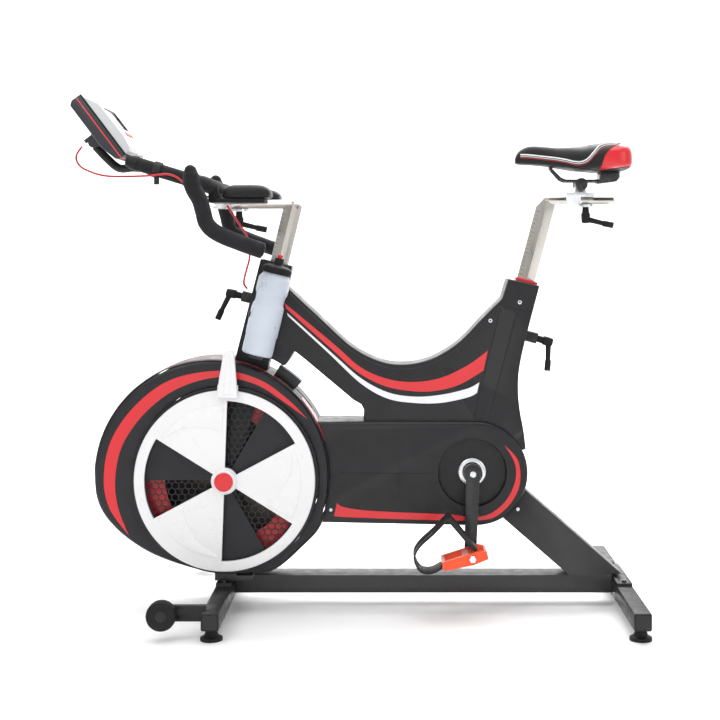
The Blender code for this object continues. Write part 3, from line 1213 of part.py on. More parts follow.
def saddle():
    """Padded saddle as a loft of rounded sections: x, half width, bottom and top."""
    sections = [
        (0.3730, 0.0110, 1.0195, 1.0290), (0.3780, 0.0160, 1.0180, 1.0420),
        (0.3920, 0.0195, 1.0165, 1.0540),
        (0.4114, 0.0220, 1.0150, 1.0600), (0.4400, 0.0265, 1.0125, 1.0590),
        (0.4663, 0.0340, 1.0115, 1.0570),
        (0.4950, 0.0460, 1.0040, 1.0570), (0.5212, 0.0620, 1.0000, 1.0586),
        (0.5480, 0.0780, 1.0000, 1.0632),
        (0.5761, 0.0890, 1.0000, 1.0672), (0.6000, 0.0925, 1.0000, 1.0685),
        (0.6200, 0.0870, 1.0000, 1.0665),
        (0.6335, 0.0720, 1.0040, 1.0590), (0.6405, 0.0480, 1.0130, 1.0480),
    ]
    bm = bmesh.new()
    count = 16
    rings = []
    for x, half, low, high in sections:
        ring = []
        for i in range(count):
            angle = 2 * pi * i / count
            across, up = cos(angle), sin(angle)
            y = half * abs(across) ** 0.8 * (1 if across >= 0 else -1)
            sag = 0.30 if up < 0 else 0.75
            z = (low + high) / 2 + (high - low) / 2 * abs(up) ** sag * (1 if up >= 0 else -1)
            ring.append(bm.verts.new((x, y, z)))
        rings.append(ring)
    for first, second in zip(rings, rings[1:]):
        for i in range(count):
            bm.faces.new((first[i], first[(i + 1) % count], second[(i + 1) % count], second[i]))
    bm.faces.new(rings[0][::-1])
    bm.faces.new(rings[-1])
    return from_bmesh("saddle", bm, VINYL)


# ---------------------------------------------------------------- cable
FRONT_CABLE = [
    (-0.6262, -0.0140, 1.0585), (-0.6392, -0.0160, 1.0356), (-0.6285, -0.0280, 1.0134),
    (-0.5995, -0.0470, 0.9983),
    (-0.5592, -0.0700, 0.9875), (-0.5016, -0.0960, 0.9850), (-0.4520, -0.1100, 0.9860),
    (-0.4137, -0.1110, 0.9893),
    (-0.3880, -0.1110, 0.9800), (-0.3680, -0.1050, 0.9600), (-0.3480, -0.0880, 0.9470),
    (-0.3200, -0.0680, 0.9380),
    (-0.3000, -0.0605, 0.9350), (-0.2880, -0.0600, 0.9240),
]
LOWER_CABLE = [
    (-0.2860, -0.0600, 0.9210), (-0.2600, -0.0590, 0.8820), (-0.2390, -0.0560, 0.8459),
    (-0.2352, -0.0480, 0.8057),
    (-0.2460, -0.0320, 0.7680), (-0.2520, -0.0180, 0.7430), (-0.2445, -0.0125, 0.7300),
]


def cable(name, route):
    return tube(name, even_path(smooth_through(route, 6), 0.0115), CABLE_RADIUS, CABLE_RED, 2)


# ---------------------------------------------------------------- build
def build():
    front = stabiliser("front_stabiliser", FRONT_STAB_X)
    wheel_arms(front)
    stabiliser("rear_stabiliser", REAR_STAB_X)
    base_frame()
    main_frame()
    head_cover()
    seat_collar()
    for word, side in SIDES:
        transport_wheel("wheel_" + word, side)
        for end, x in (("front", FRONT_STAB_X), ("rear", REAR_STAB_X)):
            levelling_foot("foot_%s_%s" % (end, word), x, side * (BASE_WIDTH / 2 - FOOT_INSET))
        body_cover("body_cover_" + word, side)
        drive_cover("drive_cover_" + word, side)
        flywheel_cover("flywheel_cover_" + word, side)
        grille("grille_" + word, side)
        crank("crank_" + word, side)
        pedal("pedal_" + word, side)
        toe_clip("toe_clip_" + word, side)
        armrest("armrest_" + word, side)
        aero_bar("aero_bar_" + word, side)
    damper_disc()
    brake_slider()

    crank_axle()
    jack = axle_y("jack_shaft", JACK_X, JACK_Z, JACK_SHAFT_RADIUS, (-0.020, 0.045), DARK_METAL, 20)
    small, large = FIRST_CHAIN_Y, SECOND_CHAIN_Y
    join(jack, axle_y("small_sprocket", JACK_X, JACK_Z, JACK_SMALL_RADIUS,
                      (small - 0.0025, small + 0.0025), None, 24),
         axle_y("large_sprocket", JACK_X, JACK_Z, JACK_LARGE_RADIUS, (large - 0.0025, large + 0.0025),
                None, 28))
    fly = axle_y("flywheel", FLY_X, FLY_Z, FLY_AXLE_RADIUS,
                 (-FLY_AXLE_END_Y, FLY_AXLE_END_Y), CHAIN_STEEL, 20)
    join(fly, axle_y("fly_sprocket", FLY_X, FLY_Z, FLY_SPROCKET_RADIUS, (large - 0.0025, large + 0.0025),
                     None, 20),
         axle_y("rim", FLY_X, FLY_Z, FLY_RADIUS, (0.048, 0.062), None, 28),
         axle_y("fan_hub", FLY_X, FLY_Z, 0.030, (-0.066, -0.008), None, 16))
    for i in range(6):
        blade = box("blade", (0.024, 0.180), (-0.064, -0.010), (-0.0015, 0.0015))
        blade.location = (FLY_X, 0.0, FLY_Z)
        blade.rotation_euler = (0.0, radians(60.0 * i + 10.0), 0.0)
        join(fly, blade)
    chain_loop("primary_chain", ((CRANK_X, CRANK_Z), (JACK_X, JACK_Z)),
               (CHAINRING_RADIUS, JACK_SMALL_RADIUS), small)
    chain_loop("secondary_chain", ((JACK_X, JACK_Z), (FLY_X, FLY_Z)),
               (JACK_LARGE_RADIUS, FLY_SPROCKET_RADIUS), large)

    handlebar_post()
    mast_levers()
    top = CROSSBAR_Z - BAR_RADIUS - GAP
    block, below = carriage("handlebar_carriage", BAR_STUD_X, (-0.3180, -0.2250), BAR_RAIL_Z,
                            BAR_RAIL_HEIGHT, top, 0.0210,
                            LIGHT_PLATE)
    lever("handlebar_lever", (BAR_STUD_X, 0.0, below), (0, 0, -1), (1, 0, 0), 0.060)
    handlebar()
    monitor_arm()
    monitor_case()
    monitor_front()
    monitor_buttons()
    bottle()
    bottle_cage()

    seat_post()
    block, below = saddle_carriage()
    lever("saddle_lever", (SADDLE_STUD_X, 0.0, below), (0, 0, -1), (1, 0, 0), 0.060)
    saddle_frame()
    saddle()

    cable("cable_front", FRONT_CABLE)
    cable("cable_lower", LOWER_CABLE)


build()
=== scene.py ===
"""Looks of the exercise bike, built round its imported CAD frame."""

import json
from math import atan2, cos, degrees, hypot, pi, radians, sin

import bmesh
import bpy
from mathutils import Matrix, Vector
from mathutils.bvhtree import BVHTree


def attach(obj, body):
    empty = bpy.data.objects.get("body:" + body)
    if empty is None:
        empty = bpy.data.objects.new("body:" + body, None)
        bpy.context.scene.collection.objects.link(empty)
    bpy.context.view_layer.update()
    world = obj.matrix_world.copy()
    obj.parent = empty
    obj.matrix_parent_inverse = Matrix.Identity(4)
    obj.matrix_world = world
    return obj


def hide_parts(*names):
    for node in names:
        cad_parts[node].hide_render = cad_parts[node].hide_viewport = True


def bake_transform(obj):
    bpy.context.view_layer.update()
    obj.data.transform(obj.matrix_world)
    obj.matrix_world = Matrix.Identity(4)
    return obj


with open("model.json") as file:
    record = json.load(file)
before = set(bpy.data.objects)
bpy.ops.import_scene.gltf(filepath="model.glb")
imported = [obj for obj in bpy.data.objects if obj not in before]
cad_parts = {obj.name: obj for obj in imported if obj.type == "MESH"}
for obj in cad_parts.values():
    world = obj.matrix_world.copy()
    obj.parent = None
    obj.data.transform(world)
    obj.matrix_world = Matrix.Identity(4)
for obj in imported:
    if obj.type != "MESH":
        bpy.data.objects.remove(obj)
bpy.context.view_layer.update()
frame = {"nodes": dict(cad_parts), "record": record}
NODES = frame["nodes"]
BODIES = frame["record"]["behaviour"]["bodies"]
BODY_OF = {node: body for body, members in BODIES.items() for node in members}
SIDES = (("left", -1), ("right", 1))

# Places and sizes shared with the CAD part, in metres.
FLY_X, FLY_Z = -0.286, 0.301
DRUM_X, DRUM_Z, DRUM_RADIUS, DRUM_HALF = -0.318, 0.305, 0.267, 0.085
DRIVE_X, DRIVE_Z, DRIVE_RADIUS, DRIVE_HALF = 0.281, 0.310, 0.1185, 0.062
CRANK_X, CRANK_Z = 0.273, 0.3126
BODY_HALF = 0.048
HEAD_TOP, HEAD_LEAN = (-0.1714, 0.0, 0.790), radians(13.5)
SEAT_TOP, SEAT_LEAN = (0.3989, 0.0, 0.745), radians(15.0)
BAR_X, BAR_Z, BAR_RADIUS, BAR_HALF = -0.305, 0.9575, 0.0172, 0.21
AERO_Y, AERO_RADIUS = 0.090, 0.0157
MONITOR, MONITOR_LEAN, MONITOR_HALF = (-0.5669, 0.0, 1.0978), radians(-37.0), 0.095
BOTTLE, BOTTLE_RADIUS, BOTTLE_HEIGHT = (-0.2170, -0.0720, 0.5816), 0.0365, 0.191
WALL, GAP = 0.003, 0.0003


# ---------------------------------------------------------------- camera, lights and floor
def make_view():
    camera = bpy.data.cameras.new("camera")
    camera.lens = 68.75
    camera.sensor_width = 36.0
    camera.shift_x = -0.0503
    camera.shift_y = -0.1556
    camera_object = bpy.data.objects.new("camera", camera)
    camera_object.location = (0.0995, -3.19, 0.824)
    camera_object.rotation_euler = (pi / 2, 0.0, 0.0)
    bpy.context.scene.collection.objects.link(camera_object)
    bpy.context.scene.camera = camera_object


def area_light(name, place, aim, size, power, colour=(1.0, 1.0, 1.0)):
    light = bpy.data.lights.new(name, "AREA")
    light.shape = "RECTANGLE"
    light.size, light.size_y = size
    light.energy = power
    light.color = colour
    lamp = bpy.data.objects.new(name, light)
    lamp.location = place
    lamp.rotation_euler = (Vector(aim) - Vector(place)).to_track_quat("-Z", "Y").to_euler()
    bpy.context.scene.collection.objects.link(lamp)


def make_studio():
    world = bpy.data.worlds.new("studio")
    world.use_nodes = True
    world.node_tree.nodes["Background"].inputs["Color"].default_value = (1.0, 1.0, 1.0, 1.0)
    world.node_tree.nodes["Background"].inputs["Strength"].default_value = 0.62
    bpy.context.scene.world = world
    bpy.context.scene.view_settings.view_transform = "Standard"
    area_light("key", (-1.8, -2.4, 2.9), (0.0, 0.0, 0.55), (1.8, 1.4), 34, (1.0, 0.99, 0.97))
    area_light("fill", (2.6, -2.0, 1.5), (0.0, 0.0, 0.5), (1.6, 1.8), 14, (0.96, 0.98, 1.0))
    area_light("front", (0.0, -3.0, 0.5), (0.0, 0.0, 0.45), (2.6, 0.7), 6)
    area_light("back", (0.4, 1.8, 2.4), (0.0, 0.0, 0.6), (2.6, 1.0), 40)
    area_light("overhead", (0.0, 0.0, 3.4), (0.0, 0.0, 0.0), (3.2, 3.0), 70)
    area_light("wall", (0.0, 1.2, 3.2), (0.0, 3.8, 1.2), (5.0, 1.2), 160)

    bm = bmesh.new()
    rows = []
    for y, z in [(-9.0, 0.0), (2.2, 0.0)] + [
            (2.2 + 1.6 * sin(radians(a)), 1.6 - 1.6 * cos(radians(a))) for a in range(6, 91,
                                                                                      6)] + [(3.8, 9.0)]:
        rows.append([bm.verts.new((x, y, z)) for x in (-9.0, 9.0)])
    for low, high in zip(rows, rows[1:]):
        bm.faces.new((low[0], low[1], high[1], high[0]))
    mesh = bpy.data.meshes.new("floor")
    bm.to_mesh(mesh)
    bm.free()
    mesh.shade_smooth()
    floor = bpy.data.objects.new("floor", mesh)
    bpy.context.scene.collection.objects.link(floor)
    mesh.materials.append(surface("floor_white", (0.95, 0.95, 0.95), 0.5, vary=0.01, patch=1.5, grain=60,
                                  bump=0.01))


# ---------------------------------------------------------------- materials
def surface(name, colour, rough, metallic=0.0, vary=0.12, patch=7.0, grain=380.0, bump=0.12,
            rough_vary=0.10,
            stretch=(1.0, 1.0, 1.0), turn=(0.0, 0.0, 0.0), wear=0.0, cells=False, **sockets):
    """Principled material: colour, roughness and bump come from noise in the piece's own coordinates."""
    material = bpy.data.materials.new(name)
    material.use_nodes = True
    nodes, links = material.node_tree.nodes, material.node_tree.links
    shader = nodes["Principled BSDF"]
    shader.inputs["Metallic"].default_value = metallic
    for socket, value in sockets.items():
        shader.inputs[socket.replace("_", " ")].default_value = value

    where = nodes.new("ShaderNodeTexCoord")
    mapping = nodes.new("ShaderNodeMapping")
    mapping.inputs["Scale"].default_value = stretch
    mapping.inputs["Rotation"].default_value = turn
    links.new(where.outputs["Object"], mapping.inputs["Vector"])

    def noise(scale, detail, source):
        node = nodes.new("ShaderNodeTexNoise")
        node.inputs["Scale"].default_value = scale
        node.inputs["Detail"].default_value = detail
        links.new(source, node.inputs["Vector"])
        return node.outputs["Fac"]

    def mix(factor, first, second, blend="MIX"):
        node = nodes.new("ShaderNodeMix")
        node.data_type = "RGBA"
        node.blend_type = blend
        for socket, value in ((node.inputs[0], factor), (node.inputs[6], first), (node.inputs[7], second)):
            if hasattr(value, "is_linked"):
                links.new(value, socket)
            else:
                socket.default_value = value
        return node.outputs[2]

    def spread(value, low, high):
        node = nodes.new("ShaderNodeMapRange")
        node.inputs["From Min"].default_value = 0.3
        node.inputs["From Max"].default_value = 0.7
        node.inputs["To Min"].default_value = low
        node.inputs["To Max"].default_value = high
        links.new(value, node.inputs["Value"])
        return node.outputs["Result"]

    broad = noise(patch, 5.0, where.outputs["Object"])
    fine = noise(grain, 3.0, mapping.outputs["Vector"])
    if cells:
        cell = nodes.new("ShaderNodeTexVoronoi")
        cell.inputs["Scale"].default_value = grain
        links.new(mapping.outputs["Vector"], cell.inputs["Vector"])
        fine = cell.outputs["Distance"]
    dark = (*[c * (1 - vary) for c in colour], 1.0)
    light = (*[min(1.0, c * (1 + vary)) for c in colour], 1.0)
    shade = mix(spread(broad, 0.0, 1.0), dark, light)
    speck = mix(spread(fine, 0.0, 1.0), (1 - vary, 1 - vary, 1 - vary, 1.0), (1.0, 1.0, 1.0, 1.0))
    shade = mix(1.0, shade, speck, "MULTIPLY")
    if wear:
        geometry = nodes.new("ShaderNodeNewGeometry")
        edge = nodes.new("ShaderNodeMapRange")
        edge.inputs["From Min"].default_value = 0.53
        edge.inputs["From Max"].default_value = 0.62
        edge.inputs["To Max"].default_value = wear
        links.new(geometry.outputs["Pointiness"], edge.inputs["Value"])
        rubbed = (*[min(1.0, c * 0.8 + 0.06) for c in colour], 1.0)
        shade = mix(edge.outputs["Result"], shade, rubbed)
    links.new(shade, shader.inputs["Base Color"])
    links.new(spread(noise(patch * 6, 4.0, mapping.outputs["Vector"]), max(0.02, rough - rough_vary),
                     min(1.0, rough + rough_vary)), shader.inputs["Roughness"])
    relief = nodes.new("ShaderNodeBump")
    relief.inputs["Strength"].default_value = bump
    relief.inputs["Distance"].default_value = 0.0006
    links.new(fine, relief.inputs["Height"])
    links.new(relief.outputs["Normal"], shader.inputs["Normal"])
    return material


MATERIAL = {
    "frame_black": surface("frame_black", (0.012, 0.012, 0.013), 0.38, grain=900, bump=0.16, wear=0.5,
                           Specular_IOR_Level=0.32),
    "cover_black": surface("cover_black", (0.014, 0.014, 0.016), 0.40, grain=1100, bump=0.16, wear=0.35,
                           Specular_IOR_Level=0.32),
    "housing_grey": surface("housing_grey", (0.017, 0.017, 0.020), 0.40, grain=1100, bump=0.16, wear=0.35,
                            Specular_IOR_Level=0.32),
    "grille_black": surface("grille_black", (0.016, 0.016, 0.019), 0.48, grain=1000, bump=0.12, wear=0.3,
                            Specular_IOR_Level=0.32),
    "disc_white": surface("disc_white", (0.78, 0.78, 0.79), 0.28, vary=0.008, patch=3.0, grain=700,
                          bump=0.008, rough_vary=0.02,
                          Coat_Weight=0.25, Coat_Roughness=0.12),
    "signal_red": surface("signal_red", (0.66, 0.008, 0.015), 0.32, vary=0.02, patch=3.0, grain=1100,
                          bump=0.02, rough_vary=0.04,
                          Coat_Weight=0.3, Coat_Roughness=0.15),
    "band_white": surface("band_white", (0.80, 0.81, 0.82), 0.32, vary=0.012, patch=3.0, grain=1100,
                          bump=0.02),
    "brushed_steel": surface("brushed_steel", (0.60, 0.57, 0.53), 0.34, 1.0, vary=0.10, grain=260,
                             bump=0.10,
                             stretch=(3.0, 3.0, 0.12), turn=(0.0, -radians(14.0), 0.0), rough_vary=0.08),
    "rail_steel": surface("rail_steel", (0.64, 0.61, 0.57), 0.32, 1.0, vary=0.10, grain=260, bump=0.10,
                          stretch=(0.12, 3.0, 3.0), rough_vary=0.08),
    "dark_metal": surface("dark_metal", (0.030, 0.030, 0.032), 0.30, 0.4, grain=900, bump=0.08, wear=0.6),
    "chain_steel": surface("chain_steel", (0.28, 0.26, 0.23), 0.36, 1.0, vary=0.25, grain=500, bump=0.2),
    "grip_foam": surface("grip_foam", (0.014, 0.014, 0.016), 0.80, vary=0.16, grain=1500, bump=0.38,
                         cells=True,
                         Sheen_Weight=0.06, Sheen_Roughness=0.5, Specular_IOR_Level=0.25),
    "black_rubber": surface("black_rubber", (0.010, 0.010, 0.011), 0.58, vary=0.2, grain=1300, bump=0.22,
                            Specular_IOR_Level=0.25),
    "pedal_orange": surface("pedal_orange", (0.86, 0.075, 0.012), 0.36, vary=0.06, grain=800, bump=0.1,
                            wear=0.2),
    "strap_black": surface("strap_black", (0.022, 0.022, 0.024), 0.55, vary=0.2, grain=1500, bump=0.3,
                           stretch=(1.0, 0.4, 1.0), Specular_IOR_Level=0.25),
    "bottle_translucent": surface("bottle_translucent", (0.70, 0.76, 0.86), 0.34, vary=0.012, patch=4.0,
                                  grain=900, bump=0.01,
                                  Transmission_Weight=0.22, IOR=1.45),
    "monitor_grey": surface("monitor_grey", (0.040, 0.042, 0.048), 0.38, grain=1000, bump=0.12, wear=0.25,
                            Specular_IOR_Level=0.32),
    "monitor_silver": surface("monitor_silver", (0.55, 0.56, 0.57), 0.34, vary=0.04, grain=900, bump=0.06),
    "zinc_plate": surface("zinc_plate", (0.78, 0.80, 0.82), 0.30, 0.75, vary=0.08, grain=500, bump=0.06),
    "saddle_vinyl": surface("saddle_vinyl", (0.011, 0.011, 0.012), 0.46, vary=0.15, grain=900, bump=0.30,
                            cells=True,
                            Sheen_Weight=0.04, Specular_IOR_Level=0.25),
    "cable_red": surface("cable_red", (0.52, 0.012, 0.022), 0.34, vary=0.06, grain=900, bump=0.05),
    "screen_glass": surface("screen_glass", (0.020, 0.026, 0.030), 0.10, vary=0.2, grain=200, bump=0.01,
                            Coat_Weight=0.6),
    "mark_dark": surface("mark_dark", (0.06, 0.055, 0.05), 0.5, 0.3, grain=900, bump=0.05),
}


# ---------------------------------------------------------------- modelling helpers
def link(name, mesh, material=None):
    piece = bpy.data.objects.new(name, mesh)
    bpy.context.scene.collection.objects.link(piece)
    if material:
        mesh.materials.append(MATERIAL[material])
    return piece


def from_bmesh(name, bm, material=None):
    bmesh.ops.recalc_face_normals(bm, faces=bm.faces)
    mesh = bpy.data.meshes.new(name)
    bm.to_mesh(mesh)
    bm.free()
    return link(name, mesh, material)


def applied(piece, angle=38.0):
    """Turn the modifiers into mesh, drop the shapes they used, and shade smooth up to angle."""
    helpers = [m.object for m in piece.modifiers if m.type == "BOOLEAN"]
    graph = bpy.context.evaluated_depsgraph_get()
    mesh = bpy.data.meshes.new_from_object(piece.evaluated_get(graph))
    mesh.transform(piece.matrix_world)
    piece.modifiers.clear()
    piece.data = mesh
    piece.matrix_world = Matrix.Identity(4)
    for helper in helpers:
        bpy.data.objects.remove(helper, do_unlink=True)
    mesh.shade_smooth()
    mesh.set_sharp_from_angle(angle=radians(angle))
    return piece


def modify(piece, kind, **settings):
    modifier = piece.modifiers.new(kind.lower(), kind)
    for setting, value in settings.items():
        setattr(modifier, setting, value)
    return piece


def bevel(piece, width, segments=3, angle=30.0):
    return modify(piece, "BEVEL", width=width, segments=segments, limit_method="ANGLE",
                  angle_limit=radians(angle),
                  harden_normals=False)


def combine(target, others, operation):
    for other in others:
        applied(other)
        other.hide_render = True
        modify(target, "BOOLEAN", operation=operation, solver="EXACT", object=other)
    return target


def cut(target, *others):
    return combine(target, others, "DIFFERENCE")


def join(target, *others):
    return combine(target, others, "UNION")


def settle(piece, body, slot, *nodes):
    """Hand a finished piece to its body and hide the CAD nodes that it stands for; the slot argument is not
    used.
    """
    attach(piece, body)
    if nodes:
        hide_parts(*nodes)
    return piece


def block(name, x, y, z, material=None):
    bm = bmesh.new()
    bmesh.ops.create_cube(bm, size=1.0)
    size = Matrix.Diagonal((x[1] - x[0], y[1] - y[0], z[1] - z[0], 1.0))
    middle = Vector((x[0] + x[1], y[0] + y[1], z[0] + z[1])) / 2
    bmesh.ops.transform(bm, matrix=Matrix.Translation(middle) @ size, verts=bm.verts)
    return from_bmesh(name, bm, material)


def rod(name, start, end, radius, material=None, sides=48, end_radius=None):
    start, end = Vector(start), Vector(end)
    bm = bmesh.new()
    bmesh.ops.create_cone(bm, cap_ends=True, segments=sides, radius1=radius,
                          radius2=radius if end_radius is None else end_radius, depth=(end - start).length)
    turn = (end - start).to_track_quat("Z", "Y").to_matrix().to_4x4()
    bmesh.ops.transform(bm, matrix=Matrix.Translation((start + end) / 2) @ turn, verts=bm.verts)
    return from_bmesh(name, bm, material)


def turned(name, profile, steps, material=None, centre=(0.0, 0.0, 0.0), turn=None):
    """Shape turned about Z from a closed or axis-to-axis (radius, z) profile, then turned and moved."""
    bm = bmesh.new()
    closed = profile[0] == profile[-1]
    points = profile[:-1] if closed else profile
    rings = []
    for radius, height in points:
        if radius < 1e-7:
            rings.append([bm.verts.new((0.0, 0.0, height))])
        else:
            rings.append([bm.verts.new((radius * cos(2 * pi * i / steps), radius * sin(2 * pi * i / steps),
                                        height))
                          for i in range(steps)])
    pairs = list(zip(rings, rings[1:])) + ([(rings[-1], rings[0])] if closed else [])
    for first, second in pairs:
        for i in range(steps):
            j = (i + 1) % steps
            if len(first) == 1 and len(second) == 1:
                continue
            if len(first) == 1:
                bm.faces.new((first[0], second[j], second[i]))
            elif len(second) == 1:
                bm.faces.new((first[i], first[j], second[0]))
            else:
                bm.faces.new((first[i], first[j], second[j], second[i]))
    matrix = Matrix.Translation(centre) @ (turn.to_4x4() if turn else Matrix.Identity(4))
    bmesh.ops.transform(bm, matrix=matrix, verts=bm.verts)
    return from_bmesh(name, bm, material)


def aim(piece, place, run):
    """Turns a piece made along +Z to the direction of run, and puts its origin at place."""
    piece.data.transform(Matrix.Translation(place) @ run.to_track_quat("Z", "Y").to_matrix().to_4x4())


def to_side(side):
    """Rotation that takes Z to the left (side -1) or to the right (side 1)."""
    return Matrix.Rotation(-side * pi / 2, 3, "X")


def mirrored(y, side):
    return (y[0], y[1]) if side > 0 else (-y[1], -y[0])


def circle_points(x, z, radius, start, end, steps):
    angles = [radians(start + (end - start) * i / steps) for i in range(steps + 1)]
    return [(x + radius * cos(a), z + radius * sin(a)) for a in angles]


def smooth_through(points, per_span=4):
    """Points of a Catmull-Rom curve through the given points."""
    last = len(points) - 1
    result = []
    for i in range(last):
        before, here = Vector(points[max(i - 1, 0)]), Vector(points[i])
        there, after = Vector(points[i + 1]), Vector(points[min(i + 2, last)])
        for step in range(per_span):
            t = step / per_span
            result.append(tuple(0.5 * (2 * here + (there - before) * t
                                       + (2 * before - 5 * here + 4 * there - after) * t ** 2
                                       + (3 * here - before - 3 * there + after) * t ** 3)))
    return result + [tuple(points[last])]


def inset(outline, distance):
    turning = sum(a[0] * b[1] - b[0] * a[1] for a, b in zip(outline, outline[1:] + outline[:1]))
    side = distance if turning > 0 else -distance
    result = []
    for i, (x, z) in enumerate(outline):
        before, after = outline[i - 1], outline[(i + 1) % len(outline)]
        first = Vector((x - before[0], z - before[1])).normalized()
        second = Vector((after[0] - x, after[1] - z)).normalized()
        scale = side / max(0.35, 1 + first.dot(second))
        result.append((x + (-first.y - second.y) * scale, z + (first.x + second.x) * scale))
    return result


def rounded_slab(name, outline, y, radius, material=None, steps=5):
    """Outline of (x, z) points from y[0] to y[1], with its far edge at y[1] rounded over by radius."""
    bm = bmesh.new()
    near, far = [[bm.verts.new((x, across, z)) for x, z in outline] for across in y]
    count = len(outline)
    for i in range(count):
        bm.faces.new((near[i], near[(i + 1) % count], far[(i + 1) % count], far[i]))
    bm.faces.new(near)
    bm.faces.new(far)
    bmesh.ops.recalc_face_normals(bm, faces=bm.faces)
    if radius:
        rim = [e for e in bm.edges if all(v in set(far) for v in e.verts)]
        bmesh.ops.bevel(bm, geom=rim, offset=radius, segments=steps, profile=0.5, affect="EDGES",
                        clamp_overlap=True)
    bmesh.ops.triangulate(bm, faces=[f for f in bm.faces if len(f.verts) > 4])
    return from_bmesh(name, bm, material)


def prism(name, outline, y, material=None):
    return rounded_slab(name, outline, y, 0.0, material)


def tube(name, points, radius, material=None, sides=24, ends=True):
    """Round tube along points, with rounded ends if asked."""
    path = [Vector(p) for p in points]
    bm = bmesh.new()
    up = Vector((0.0, 1.0, 0.0))
    rings = []

    def add_ring(centre, run, size):
        nonlocal up
        side = run.cross(up)
        if side.length < 1e-6:
            side = run.cross(Vector((0.0, 0.0, 1.0)))
        side.normalize()
        up = side.cross(run).normalized()
        turns = [2 * pi * i / sides for i in range(sides)]
        rings.append([bm.verts.new(centre + (side * cos(a) + up * sin(a)) * size) for a in turns])

    first_run = (path[1] - path[0]).normalized()
    last_run = (path[-1] - path[-2]).normalized()
    lip = min(radius * 0.45, (path[1] - path[0]).length * 0.9)
    if ends:
        for a in (0.15, 0.5, 0.85):
            add_ring(path[0] + first_run * lip * (1 - sin(a * pi / 2)), first_run,
                     radius - lip * (1 - cos((1 - a) * pi / 2)))
    for i, point in enumerate(path):
        if ends and i in (0, len(path) - 1):
            continue
        run = path[min(i + 1, len(path) - 1)] - path[max(i - 1, 0)]
        add_ring(point, run.normalized(), radius)
    if ends:
        for a in (0.85, 0.5, 0.15):
            add_ring(path[-1] - last_run * lip * (1 - sin(a * pi / 2)), last_run,
                     radius - lip * (1 - cos((1 - a) * pi / 2)))
    for first, second in zip(rings, rings[1:]):
        for i in range(sides):
            bm.faces.new((first[i], first[(i + 1) % sides], second[(i + 1) % sides], second[i]))
    bm.faces.new(rings[0])
    bm.faces.new(rings[-1])
    return from_bmesh(name, bm, material)


def refine(node, width=0.0012, segments=2, slot=None, angle=30.0, name=None):
    """Copy of a CAD node with its edges softened; it stands for the node."""
    source = NODES[node]
    bm = bmesh.new()
    bm.from_mesh(source.data)
    bmesh.ops.remove_doubles(bm, verts=bm.verts, dist=0.00002)
    bmesh.ops.dissolve_limit(bm, angle_limit=radians(0.7), verts=bm.verts, edges=bm.edges)
    mesh = bpy.data.meshes.new(name or node + "_shown")
    bm.to_mesh(mesh)
    bm.free()
    slot = slot or source.data.materials[0].name.split(".")[0]
    mesh.materials.clear()
    piece = link(name or node + "_shown", mesh, slot)
    bevel(piece, width, segments, angle)
    applied(piece, 34.0)
    return settle(piece, BODY_OF[node], slot, node)


def decal(name, outline, face, side, slot, body="base", thick=0.0005):
    """Thin inlay lying on a flat side face."""
    piece = prism(name, outline, mirrored((face + 0.0001, face + thick), side), slot)
    return settle(applied(piece), body, slot)


def band(upper, lower, per_span=6):
    """Closed outline between two lines of points."""
    return smooth_through(upper, per_span) + smooth_through(lower, per_span)[::-1]


make_view()
make_studio()


# ---------------------------------------------------------------- flywheel housing
def drum_outline(growth=0.0):
    arc = circle_points(DRUM_X, DRUM_Z, DRUM_RADIUS, -8.5, 176, 110)
    tail = smooth_through([arc[-1], (-0.5809, 0.268), (-0.5658, 0.2267), (-0.536, 0.1894),
                           (-0.4947, 0.1556), (-0.4461, 0.1280), (-0.3786, 0.1035), (-0.3038, 0.0870),
                           (-0.2250, 0.0860), (-0.1726, 0.0970),
                           (-0.1164, 0.1442), (-0.0710, 0.1950), arc[0]], 5)
    outline = arc + tail[1:-1]
    if not growth:
        return outline
    grown = []
    for x, z in outline:
        dx, dz = x - DRUM_X, z - DRUM_Z
        scale = 1 + growth / hypot(dx, dz)
        grown.append((DRUM_X + dx * scale, DRUM_Z + dz * scale))
    return grown


def sector(x, z, inner, outer, start, end, steps=24):
    return circle_points(x, z, outer, start, end, steps) + circle_points(x, z, inner, end, start,
                                                                         max(2, steps // 2))


